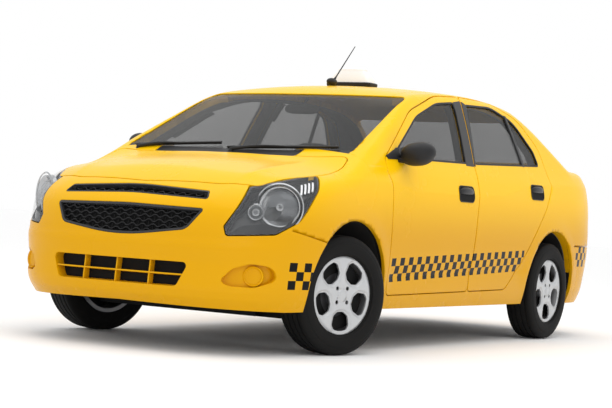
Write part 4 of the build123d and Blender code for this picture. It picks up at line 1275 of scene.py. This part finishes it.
def makeGrilles():
    # frame, back sheet and a net of waved bars for each grille; two straight sets of bars in the intake
    g = grilleLook
    nets, frames, backs, bars = [], [], [], []
    for name in ("upperGrille", "lowerGrille"):
        rows = frontOutlines[name]
        room = grownLoop(rows, -g["upperFrame"])
        wide = g["frame"] if name == "lowerGrille" else g["upperFrame"]
        frames.append(ringOn(rows, screenPoint, noseChart, toNose, wide, g["frameThick"], g["frameLift"], -.0006,
                             frontFlat))
        grown = grownLoop(rows, .004)
        backs.append(nosePatch(grown, thick=.004, edge=.001, lift=g["backLift"], step=.04))
        x = np.linspace(-.47, .47, 480)
        for k, z0 in enumerate(np.arange(room[:, 1].min(), room[:, 1].max(), g["row"])):
            line = np.column_stack([x, waveLine(x + (k % 2) * g["waveLength"] / 2, z0)])
            good = insideOf(line, room)
            for run in np.split(np.arange(len(x)), np.nonzero(np.diff(good.astype(int)))[0] + 1):
                if good[run[0]] and len(run) > 4:
                    p = screenPoint(line[run])
                    nets.append(stripOn(p, slopeOf(p), g["bar"], g["meshOut"], g["meshIn"]))
        for x0 in np.arange(-.44, .441, g["waveLength"] / 2):
            z = np.linspace(room[:, 1].min(), room[:, 1].max(), 60)
            line = np.column_stack([np.full(len(z), x0), z])
            good = insideOf(line, room)
            if np.sum(good) > 2:
                p = screenPoint(line[good])
                nets.append(stripOn(p, slopeOf(p), .0018, g["meshOut"] - .012, g["meshIn"], across=(1, 0, 0)))
    intake = grownLoop(frontOutlines["intake"], .010)
    backs.append(nosePatch(intake, thick=.004, edge=.001, lift=-.055, step=.04))
    wallIn = grownLoop(frontOutlines["intake"], .001)
    wallRing = skinMesh([screenPoint(intake), screenPoint(wallIn)], noseChart, toNose,
                        lambda p: insideOf(frontFlat(p), intake) & ~insideOf(frontFlat(p), wallIn), thick=.042,
                        edge=.001, lift=-.018, step=.03)
    x = np.linspace(-.395, .395, 80)
    p = screenPoint(np.column_stack([x, np.full(80, g["barZ"])]))
    bars.append(stripOn(p, slopeOf(p), g["barWide"], -.008, .05))
    for x0 in g["barX"]:
        z = np.linspace(.322, .450, 20)
        p = screenPoint(np.column_stack([np.full(20, x0), z]))
        bars.append(stripOn(p, slopeOf(p), g["barWide"], -.012, .05, across=(1, 0, 0)))
    newObject("grilleNet", *joined(nets), blackPlastic, "chassis", slot="black_plastic", hides=("front_grilles",),
              sharp=30)
    newObject("intakeBars", *joined(bars), yellow, "chassis", slot="body_paint", sharp=30)
    for k, ring in enumerate(frames):
        panel("grilleFrame_" + str(k), "chassis", ring, frameGrey, slot="black_plastic")
    for k, back in enumerate(backs):
        panel("grilleBack_" + str(k), "chassis", back, deepBlack, slot="black_plastic")
    panel("intakeWall", "chassis", wallRing, yellow)


fogLook = {"wall": .034, "deep": -.036, "blank": (.696, .396), "blankR": .050, "ring": .011}


def makeFogPockets():
    # a body-coloured teardrop wall and floor, and a round blank standing in it
    f = fogLook
    rows = frontOutlines["fogPocket"]
    grown, shrunk = grownLoop(rows, .004), grownLoop(rows, -.001)
    wall = skinMesh([screenPoint(grown), screenPoint(shrunk)], noseChart, toNose,
                    lambda p: insideOf(frontFlat(p), grown) & ~insideOf(frontFlat(p), shrunk) & (p[:, 0] > 0),
                    thick=f["wall"], edge=.001, lift=-.004, step=.02)
    floor = skinMesh([screenPoint(grown)], noseChart, toNose, lambda p: insideOf(frontFlat(p), grown) & (p[:, 0] > 0),
                     thick=.004, edge=.001, lift=f["deep"], step=.02)
    at = screenPoint(np.array([f["blank"]]))[0]
    out = slopeOf(at[None])[0] * .5 + np.array([0, -.5, 0])
    out /= np.linalg.norm(out)
    turn = np.array(Vector((1, 0, 0)).rotation_difference(Vector(out)).to_matrix())
    r, w = f["blankR"], f["ring"]
    disc = turned([(-.030, .0005), (.000, .0005), (.001, r - w), (.006, r - w * .8), (.009, r - w * .4), (.006, r),
                   (-.030, r)], 56)
    blank = moved(disc, turn, at - out * .026)
    for side, turnSkin, flip in sides:
        panel("fogWall_" + side, "chassis", turnSkin(wall), yellow)
        panel("fogFloor_" + side, "chassis", turnSkin(floor), yellow)
        newObject("fogBlank_" + side, *flip(blank), yellow, "chassis", slot="body_paint", sharp=35)


frameGrey = mouldedPlastic("grilleFrame", (.026, .026, .028), (.040, .041, .043), 20, (.14, .22), .02)
deepBlack = mouldedPlastic("deepBlack", (.004, .004, .004), (.007, .007, .007), 40, (.8, .9))
makeGrilles()
makeFogPockets()
print("stage: lamps and grilles made")


# Wheels.
wheelLook = {"x": .765, "radius": .308, "coverR": .2095, "spokes": 5, "face": .080, "dish": .012, "bevel": .024,
             "bevelDrop": .009, "lug": .0105, "lugCircle": .050, "lugs": 4, "parked": -16, "kingpin": .700,
             "rimIn": -.088}
wheelWindow = [(-20, 84, 10), (-50, 104, 22), (-60, 152, 22), (-44, 176, 16), (0, 184, 200), (44, 176, 16),
               (60, 152, 22), (50, 104, 22), (20, 84, 10)]


def coverLoops():
    # the wheel's window outline turned to each gap between two spokes
    base = rounded(wheelWindow, .004)
    out = []
    for k in range(wheelLook["spokes"]):
        a = 2 * pi * (k + .5) / wheelLook["spokes"]
        y, z = base.T
        out.append(np.column_stack([y * cos(a) - z * sin(a), y * sin(a) + z * cos(a)]))
    return out


def gapTo(uv, loops):
    # shortest way from each point to any of the loops
    best = np.full(len(uv), 9.0)
    for loop in loops:
        nxt = np.roll(loop, -1, 0)
        t = np.clip(np.sum((uv[:, None] - loop) * (nxt - loop), -1) / np.maximum(np.sum((nxt - loop)**2, -1), 1e-12),
                    0, 1)
        best = np.minimum(best, np.min(np.linalg.norm(loop + (nxt - loop) * t[..., None] - uv[:, None], axis=-1), 1))
    return best


windowLoops = coverLoops()


def coverHeight(uv):
    # outward offset of the cover: shallow dish towards the hub, lower in a band round each window, rolled at the rim
    w = wheelLook
    r = np.linalg.norm(uv, axis=1)
    x = w["face"] + w["dish"] * (ramp(r, .045, .15) - 1) * .45 - .012 * ramp(r, .185, .212)
    x -= w["bevelDrop"] * (1 - ramp(gapTo(uv, windowLoops), .003, w["bevel"] * .7))
    return x + .004 * (1 - ramp(r, .022, .030)) - .0035 * (1 - ramp(np.abs(r - .034), .001, .003))


def coverChart(uv):
    # (y, z) on the wheel cover to a point of it
    return np.column_stack([coverHeight(uv), uv])


def coverSlope(p):
    # normal from the cover's height by small steps
    uv, h = p[:, 1:], .001
    du = (coverHeight(uv + [h, 0]) - coverHeight(uv - [h, 0])) / (2 * h)
    dv = (coverHeight(uv + [0, h]) - coverHeight(uv - [0, h])) / (2 * h)
    n = np.column_stack([np.ones(len(uv)), -du, -dv])
    return n / np.linalg.norm(n, axis=1, keepdims=True)


def circle(radius, middle=(0, 0), n=None, step=.006):
    # closed loop of n points at one distance from its middle
    n = n or max(16, int(2 * pi * radius / step))
    a = np.linspace(0, 2 * pi, n, endpoint=False)
    return np.column_stack([middle[0] + radius * np.cos(a), middle[1] + radius * np.sin(a)])


def makeWheels():
    # one cover, rim, spider, disc and tyre, placed four times; the front ones are turned about their kingpins
    w = wheelLook
    rim = circle(w["coverR"])
    turns = [2 * pi * (k + .5) / w["lugs"] for k in range(w["lugs"])]
    lugs = [circle(w["lug"], (w["lugCircle"] * cos(a), w["lugCircle"] * sin(a)), 20) for a in turns]

    def keep(p):
        good = insideOf(p[:, 1:], rim)
        for loop in windowLoops + lugs:
            good &= ~insideOf(p[:, 1:], loop)
        return good
    cover = skinMesh([coverChart(c) for c in [rim] + windowLoops + lugs], coverChart, toSide, keep, thick=.010,
                     edge=.002, step=.009, slope=coverSlope)
    barrel = turned([(w["rimIn"], .186), (w["rimIn"], .2065), (w["rimIn"] + .008, .2075), (-.078, .197), (.060, .197),
                     (.066, .207), (.070, .207), (.066, .185), (.040, .178), (-.03, .172), (-.078, .180)], 72)
    disc = turned([(.020, .0005), (.020, .120), (.008, .120), (.008, .0005)], 48)
    hub = turned([(.062, .0005), (.060, .026), (.050, .040), (.045, .062), (.030, .066), (.018, .066), (.018, .0005)],
                 40)
    spider = [moved(tube([(.050, .0, .03), (.044, .0, .10), (.046, .0, .176)], [.020, .015, .016], 10),
                    turnAbout("X", 360 / w["spokes"] * k)) for k in range(w["spokes"])]
    backing = turned([(.030, .112), (.030, .178), (.026, .178), (.026, .112)], 48)
    tread = tyreShape()
    for row in ("front", "rear"):
        for side in ("left", "right"):
            way = 1 if side == "left" else -1
            flat = np.diag([1, 1, 1]) if way > 0 else np.diag([-1, -1, 1])
            place = np.array([way * w["x"], frontAxle if row == "front" else rearAxle, w["radius"]])
            if row == "front":
                turn = turnAbout("Z", w["parked"])
                pin = np.array([way * w["kingpin"], frontAxle, 0])
                place, flat = turn @ (place - pin) + pin, turn @ flat
            body = "wheel_" + row + "_" + side
            newObject("wheelCover_" + row + "_" + side, *moved(cover, flat, place), silver, body, cover[2] @ flat.T,
                      (body,), "wheel_silver")
            for name, shape, material in (("wheelRim_", joined([barrel, hub]), steel),
                                          ("wheelSpider_", joined(spider + [backing]), deepBlack),
                                          ("brakeDisc_", disc, castIron)):
                newObject(name + row + "_" + side, *moved(shape, flat, place), material, body, slot="wheel_silver",
                          sharp=40)
            newObject("tyreTread_" + row + "_" + side, *moved(tread, flat, place), tyreBlack, body,
                      hides=("tyre_" + row + "_" + side,), slot="tyre_rubber", sharp=38)


tyreLook = {"bead": .2085, "grooves": (-.050, -.018, .018, .050), "grooveWide": .008, "grooveDeep": .007,
            "segments": 110}


def tyreShape():
    # profile turned about the axle: bead, rim guard ridge, bulged wall, shoulder, then a crown with round grooves
    t = tyreLook
    wall = [(.072, .199), (.0795, .2085), (.0855, t["bead"]), (.0890, .2125), (.0905, .2165), (.0895, .2200),
            (.0908, .2240), (.0920, .2360), (.0925, .2450), (.0922, .2560), (.0912, .2650), (.0905, .2690),
            (.0895, .2700), (.0885, .2790), (.0862, .2860), (.0830, .2930), (.0800, .2975), (.0775, .3005),
            (.0730, .3035)]
    crown = []
    for x in sorted(t["grooves"], reverse=True):
        half = t["grooveWide"] / 2
        for dx, deep in ((half + .0006, 0), (half - .0012, 1), (-half + .0012, 1), (-half - .0006, 0)):
            crown.append((x + dx, .308 - 1.05 * (x + dx)**2 - deep * t["grooveDeep"]))
    rows = wall + [(.066, .3055)] + crown + [(-.066, .3055)] + [(-x, r) for x, r in wall[::-1]]
    return turned(rows, t["segments"])


makeWheels()
print("stage: wheels made")


# Handles, mirrors and outside trim.
handleLook = {"places": {"front": (-.088, .880), "rear": (.953, .930)}, "wide": 200, "tall": 94, "corner": 30,
              "rim": .006, "pull": (.015, .088, .021), "pullUp": .018}


def makeHandles():
    # plate and rim on the door skin with a rounded bar before them
    h = handleLook
    for row, (y, z) in h["places"].items():
        half = (h["wide"] / 2, h["tall"] / 2)
        corners = ((-1, -1), (1, -1), (1, 1), (-1, 1))
        rows = [(y * 1000 + a * half[0], z * 1000 + b * half[1], h["corner"]) for a, b in corners]
        plate = grownLoop(rows)
        cup = sidePatch(plate, thick=.012, edge=.003, step=.02, lift=.0015)
        rim = ringOn(rows, sideChart, sideChart, toSide, h["rim"], .008, .0045, .0005, toSide, .02)
        at = sideChart(np.array([[y, z + h["pullUp"]]]))[0]
        pull = blob(h["pull"], (3.2, 2.6), (48, 24))
        bow = pull[0][:, 1] / h["pull"][1]
        pull = (pull[0] - np.column_stack([.006 * bow**2, 0 * bow, .004 * bow**2]) + at + [.0045, 0, 0], pull[1])
        for side, turn, flip in sides:
            door = row + "_" + side
            panel("handleCup_" + door, "door_" + door, turn(cup), deepBlack, slot="black_plastic")
            panel("handleRim_" + door, "door_" + door, turn(rim), blackPlastic, slot="black_plastic")
            newObject("handlePull_" + door, *flip(pull), handleBlack, "door_" + door, slot="black_plastic", sharp=60)


handleBlack = mouldedPlastic("handleBlack", (.014, .014, .015), (.022, .022, .023), 700, (.24, .32), .05)
makeHandles()

mirrorLook = {"middle": (.914, -.812, 1.070), "half": (.096, .086, .064), "seamDrop": -.018,
              "sail": [(-1000, 1048, 6), (-985, 1030, 6), (-830, 1036, 8), (-826, 1046, 8), (-850, 1105, 20),
                       (-880, 1090, 40)]}


def makeMirrors():
    # rounded housing that narrows outwards, with a groove round it, a flat pane, a foot and a sail on the door
    m = mirrorLook
    shell = blob(m["half"], (2.7, 2.4), (64, 36))
    v = shell[0]
    front = np.clip(-v[:, 1] / m["half"][1], 0, 1)
    out = v[:, 0] / m["half"][0]
    v = v * np.column_stack([np.ones(len(v)), np.where(v[:, 1] > 0, .62, 1.0) * (1 - .22 * np.clip(out, 0, 1)**2),
                             1 - .13 * front**2 - .20 * np.clip(out, 0, 1)**3])
    v[:, 2] += .010 * out
    groove = np.exp(-((v[:, 2] - m["seamDrop"]) / .0030)**2)
    v[:, :2] *= (1 - .030 * groove)[:, None]
    housing = (v + m["middle"], shell[1])
    glass = turned([(.000, .0005), (.0, .040), (.004, .043), (.008, .040), (.008, .0005)], 48)
    deep, across, up = glass[0].T
    pane = (np.column_stack([across * 1.68, deep, up * 1.02]) + np.array(m["middle"]) + [0, .037, .002],
            glass[1][:, ::-1])
    sail = sidePatch(grownLoop(m["sail"]), thick=.014, edge=.003, step=.02, lift=.006)
    arm = loft([(-.012, .030, .030, .0, .0), (-.008, .052, .036, .003, 0), (.008, .056, .038, .006, 0),
                (.014, .050, .034, .008, 0)], 40, 3.2)
    arm = moved(arm, None, (.846, -.842, 1.030))
    for side, turn, flip in sides:
        body = "door_front_" + side
        newObject("mirrorHousing_" + side, *flip(joined([housing, arm])), blackPlastic, body,
                  hides=("mirror_" + side,), slot="black_plastic", sharp=50)
        newObject("mirrorPane_" + side, *flip(pane), chrome, body, slot="black_plastic", sharp=40)
        panel("mirrorSail_" + side, body, turn(sail), blackPlastic, slot="black_plastic")


makeMirrors()

roofLook = {"sign": (0, .020), "baseHalf": (.152, .062), "hoodHalf": (.144, .053), "topHalf": (.092, .030),
            "foot": 1.5085, "hoodFoot": 1.524, "hoodTop": 1.612, "antennaFoot": (0, -.219, 1.500),
            "antennaTip": (0, .031, 1.746)}


def makeRoofPieces():
    # sign as lofted rings that draw in towards the top, and a leaning mast
    r = roofLook
    x, y = r["sign"]
    base = loft([(r["foot"] - .012, r["baseHalf"][0] - .004, r["baseHalf"][1] - .004, x, y),
                 (r["foot"], *r["baseHalf"], x, y), (r["hoodFoot"] - .004, *r["baseHalf"], x, y),
                 (r["hoodFoot"], r["baseHalf"][0] - .006, r["baseHalf"][1] - .006, x, y)], 72, 9)
    t = np.linspace(0, 1, 14)
    rows = []
    for q in t:
        k = q**1.4
        hx = r["hoodHalf"][0] + (r["topHalf"][0] - r["hoodHalf"][0]) * k
        hy = r["hoodHalf"][1] + (r["topHalf"][1] - r["hoodHalf"][1]) * k
        rows.append((r["hoodFoot"] - .001 + (r["hoodTop"] - .014 - r["hoodFoot"]) * q, hx, hy, x, y))
    hx, hy = r["topHalf"]
    for a in np.linspace(.2, 1.5, 8):
        rows.append((r["hoodTop"] - .014 + .014 * sin(a), hx - .014 * (1 - cos(a)), hy - .014 * (1 - cos(a)), x, y))
    hood = loft(rows, 96, 6)
    newObject("signBase", *base, blackPlastic, "chassis", slot="black_plastic", sharp=40)
    newObject("signHood", *hood, signWhite, "chassis", hides=("roof_sign",), slot="white_plastic", sharp=45)
    foot, tip = np.array(r["antennaFoot"]), np.array(r["antennaTip"])
    way = (tip - foot) / np.linalg.norm(tip - foot)
    pad = blob((.022, .050, .022), (2.2, 2.0), (40, 18), foot + [0, -.004, .008])
    neck = tube([foot, foot + way * .03, foot + way * .06], [.012, .009, .0045])
    mast = tube([foot + way * s for s in np.linspace(.05, np.linalg.norm(tip - foot), 12)],
                np.linspace(.0042, .0026, 12))
    newObject("antennaMast", *joined([pad, neck, mast]), blackPlastic, "chassis", hides=("antenna",),
              slot="black_plastic", sharp=40)


signWhite = mouldedPlastic("signWhite", (.82, .82, .82), (.88, .88, .88), 8, (.22, .30), .01)
makeRoofPieces()

cowlLook = {"outline": [(0, -1386, 0), (300, -1373, 500), (560, -1329, 300), (742, -1267, 45), (742, -1180, 0),
                        (560, -1244, 0), (300, -1290, 500), (0, -1310, 0), (-300, -1290, 500), (-560, -1244, 0),
                        (-742, -1180, 0), (-742, -1267, 45), (-560, -1329, 300), (-300, -1373, 500)],
            "blades": [((-.640, 1.040), (-.060, 1.066)), ((.020, 1.040), (.640, 1.066))]}


def makeCowl():
    # dark skin between bonnet and windscreen, with two wiper blades and arms on the glass
    edge = grownLoop(cowlLook["outline"], -.002)
    mesh = topPatch(edge, thick=.020, lift=-.004, step=.03)
    panel("cowl", "chassis", mesh, blackPlastic, ("scuttle_panel",), "black_plastic")
    shapes = []
    for (x0, z0), (x1, z1) in cowlLook["blades"]:
        t = np.linspace(0, 1, 40)
        p = screenPoint(np.column_stack([x0 + (x1 - x0) * t, z0 + (z1 - z0) * t]))
        n = slopeOf(p)
        shapes.append(stripOn(p, n, .006, .012, -.001))
        shapes.append(stripOn(p, n, .014, .016, -.010))
        t = np.linspace(0, 1, 24)[:, None]
        start, end = p[2] - [0, .02, .012], p[22]
        arm = start + (end - start) * t
        arm = arm + slopeOf(arm) * (.010 + .010 * np.sin(t * pi))
        shapes.append(tube(arm, np.linspace(.010, .005, 24), 10))
        shapes.append(moved(turned([(-.012, .0005), (-.012, .015), (.010, .013), (.016, .008), (.016, .0005)], 24),
                            turnAbout("Y", -75), start))
    newObject("wiperBlades", *joined(shapes), blackPlastic, "chassis", hides=("wipers",), slot="black_plastic",
              sharp=40)


makeCowl()


# Tail lamps and rear plate.
plateLook = {"outline": [(-260, 430, 10), (260, 430, 10), (260, 542, 10), (-260, 542, 10)], "back": 2.229,
             "face": 2.2395}


def makeTail():
    # lens and back are the tail skin in the lamp's outline; the plate is a flat block
    o = rearOutlines
    lamp = grownLoop(o["tailLamp"], -halfSeam)
    lidSide = o["lidHalfWidth"] + o["seam"]

    def keep(p):
        return insideOf(p[:, 1:], lamp) & (p[:, 0] > lidSide) & (p[:, 1] > 1.6)
    lidEdge = divided([(lidSide, .80), (lidSide, 1.10), (.5, 1.10), (.5, .80)], .01)
    loops = [sideChart(lamp), screenPoint(lidEdge, False)]
    loops = [q[q[:, 0] > .3] for q in loops]
    lens = skinMesh(loops, tailChart, toTail, keep, thick=.012, edge=.003, step=.02)
    back = skinMesh(loops, tailChart, toTail, keep, thick=.03, edge=.002, step=.03, lift=-.0125)
    for side, turn, flip in sides:
        panel("tailLens_" + side, "chassis", turn(lens), redLens, ("tail_lamps",) if side == "left" else (),
              "red_lens")
        panel("tailBack_" + side, "chassis", turn(back), lampGrey, slot="red_lens")
    plate = grownLoop(plateLook["outline"], 0, .02)
    n = len(plate)
    v = np.concatenate([xyz(plate[:, 0], y, plate[:, 1]) for y in (plateLook["back"], plateLook["face"])])
    walls = [[n + k, n + (k + 1) % n, (k + 1) % n, k] for k in range(n)]
    ends = [list(range(n)), [n + k for k in range(n)][::-1]]
    newObject("rearPlate", v, walls + ends, whitePlastic, "chassis", hides=plateNodes, slot="white_plastic", sharp=40)


plateNodes = tuple(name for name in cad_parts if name.startswith("number_plate"))
makeTail()
print("stage: handles, mirrors, roof pieces, cowl and tail made")


# Cabin and running gear.
seatLook = {"frontX": .360, "lean": 18, "rearLean": 20, "fill": .8,
            "cushion": {"half": (.244, .255, .062), "channels": (-.120, .120), "y": -.262, "up": .185},
            "back": {"half": (.238, .290, .054), "channels": (-.115, .115), "footY": -.020, "footUp": .180,
                     "along": .300},
            "rest": {"half": (.126, .078, .041), "along": .688, "posts": (.54, .60, .66), "postX": .055,
                     "postRadius": .006},
            "bench": {"half": (.565, .236, .060), "channels": (-.19, .19), "y": .710, "up": .0635},
            "benchBack": {"half": (.548, .276, .058), "channels": (-.185, .185), "foot": (0, .960, .480),
                          "along": .270}}


def padShape(half, channels=(), power=(6.0, 3.2), n=(176, 72)):
    # stuffed block: superellipsoid whose sides pull in between its corners, with dips along the sewn channels
    verts, faces = blob(half, power, n)
    u, v = verts[:, 0] / half[0], verts[:, 1] / half[1]
    verts[:, 0] *= 1 - .030 * np.cos(np.clip(v, -1, 1) * pi / 2)
    verts[:, 1] *= 1 - .025 * np.cos(np.clip(u, -1, 1) * pi / 2)
    verts[:, 2] *= 1 - .10 * np.clip(u, -1, 1)**2 * (1 - .4 * np.clip(v, -1, 1)**2)
    for c in channels:
        dip = np.exp(-((verts[:, 0] - c) / .010)**2) * ramp(half[1] * .9 - np.abs(verts[:, 1]), 0, .03)
        verts[:, 2] *= 1 - .16 * dip
    return verts, faces


def makeSeats():
    # front seats as stuffed pads on a plastic foot; the rear bench and backrest run across
    s = seatLook
    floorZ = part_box("front_seats")[0][2]
    lean = turnAbout("X", -s["lean"])
    stand = turnAbout("X", 90)
    x, c, b, r = s["frontX"], s["cushion"], s["back"], s["rest"]
    foot = np.array([x, b["footY"], floorZ + b["footUp"]])
    cushion = moved(padShape(c["half"], c["channels"]), None, (x, c["y"], floorZ + c["up"]))
    back = moved(padShape(b["half"], b["channels"]), lean @ stand, foot + lean @ [0, 0, b["along"]])
    rest = moved(padShape(r["half"], (), (3.4, 3.0), (96, 48)), lean @ stand, foot + lean @ [0, 0, r["along"]])
    posts = [tube([foot + lean @ [way * r["postX"], 0, z] for z in r["posts"]], r["postRadius"]) for way in (-1, 1)]
    frameBase = loft([(floorZ + up, hx, hy, x, -.270) for up, hx, hy in
                      ((.001, .200, .190), (.02, .200, .190), (.118, .180, .185))], 48, 8)
    hidden = ("front_seats",)
    for side, turn, flip in sides:
        for name, shape in (("seatCushion_", cushion), ("seatBack_", back), ("seatHeadrest_", rest)):
            pad = newObject(name + side, *flip(shape), seatCloth, "chassis", hides=hidden, slot="seat_fabric")
            hidden = ()
        newObject("seatBase_" + side, *flip(joined([frameBase] + posts)), blackPlastic, "chassis",
                  slot="black_plastic", sharp=40)
    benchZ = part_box("rear_seat")[0][2]
    k, q = s["bench"], s["benchBack"]
    bench = moved(padShape(k["half"], k["channels"], (7.0, 3.2), (208, 72)), None, (0, k["y"], benchZ + k["up"]))
    rearLean = turnAbout("X", -s["rearLean"])
    rearBack = moved(padShape(q["half"], q["channels"], (7.0, 3.2), (208, 72)), rearLean @ stand,
                     np.array(q["foot"]) + rearLean @ [0, .010, q["along"]])
    for name, shape, hides in (("rearBench", bench, ("rear_seat",)), ("rearBackrest", rearBack, ())):
        pad = newObject(name, *shape, seatCloth, "chassis", hides=hides, slot="seat_fabric")


linerLook = {"radius": .384, "thick": .004, "inner": .600, "skinGap": .024, "from": -8, "to": 188}


def makeLiners():
    # dark curved sheet inside each wheel arch: an arc of the arch circle carried inwards from the skin
    f = linerLook
    a = np.radians(np.linspace(f["from"], f["to"], 64))
    for axle, place in ((frontAxle, "front"), (rearAxle, "rear")):
        rings = []
        for radius, outer in ((f["radius"], True), (f["radius"], False), (f["radius"] + f["thick"], False),
                              (f["radius"] + f["thick"], True)):
            y, z = axle + radius * np.cos(a), archHeight + radius * np.sin(a)
            edge = meetForm(xyz(.2, y, z), [1, 0, 0], 1.0)[:, 0] - f["skinGap"]
            rings.append(xyz(np.maximum(edge, f["inner"] + .01) if outer else f["inner"], y, z))
        sheet = (np.stack(rings, 1).reshape(-1, 3), barFaces(len(a)))
        for side, turn, flip in sides:
            newObject("archLiner_" + place + "_" + side, *flip(sheet), deepBlack, "chassis", slot="black_plastic",
                      sharp=30)


cabinLook = {"mirror": (0, -.545, 1.318), "mirrorHalf": (.115, .014, .030),
             "stalk": [(0, .01), (.02, .035), (.05, .062)], "stalkRadius": [.006, .006, .010]}


def makeCabin():
    # inner mirror: a rounded glass holder on a short stalk under the windscreen top
    c = cabinLook
    at = np.array(c["mirror"])
    head = blob(c["mirrorHalf"], (4, 3), (48, 24), at)
    stalk = tube([at + [0, y, z] for y, z in c["stalk"]], c["stalkRadius"])
    newObject("innerMirror", *joined([head, stalk]), blackPlastic, "chassis", slot="black_plastic", sharp=50)


nodeFinishes = {"underbody": underPaint, "engine_block": castIron, "front_subframe": underPaint,
                "rear_axle_beam": steel, "exhaust": brushed("exhaustSteel", (.26, .24, .22), .5),
                "fuel_tank": blackPlastic, "knuckle_left": castIron, "knuckle_right": castIron, "dashboard": darkTrim,
                "steering_wheel": blackPlastic, "rear_shelf": darkTrim}


def dressNodes():
    # materials for the CAD nodes that stay visible
    for name, material in nodeFinishes.items():
        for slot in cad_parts[name].material_slots:
            slot.material = material


makeSeats()
makeLiners()
makeCabin()
dressNodes()
print("stage: cabin and running gear dressed")


print("stage: finished")
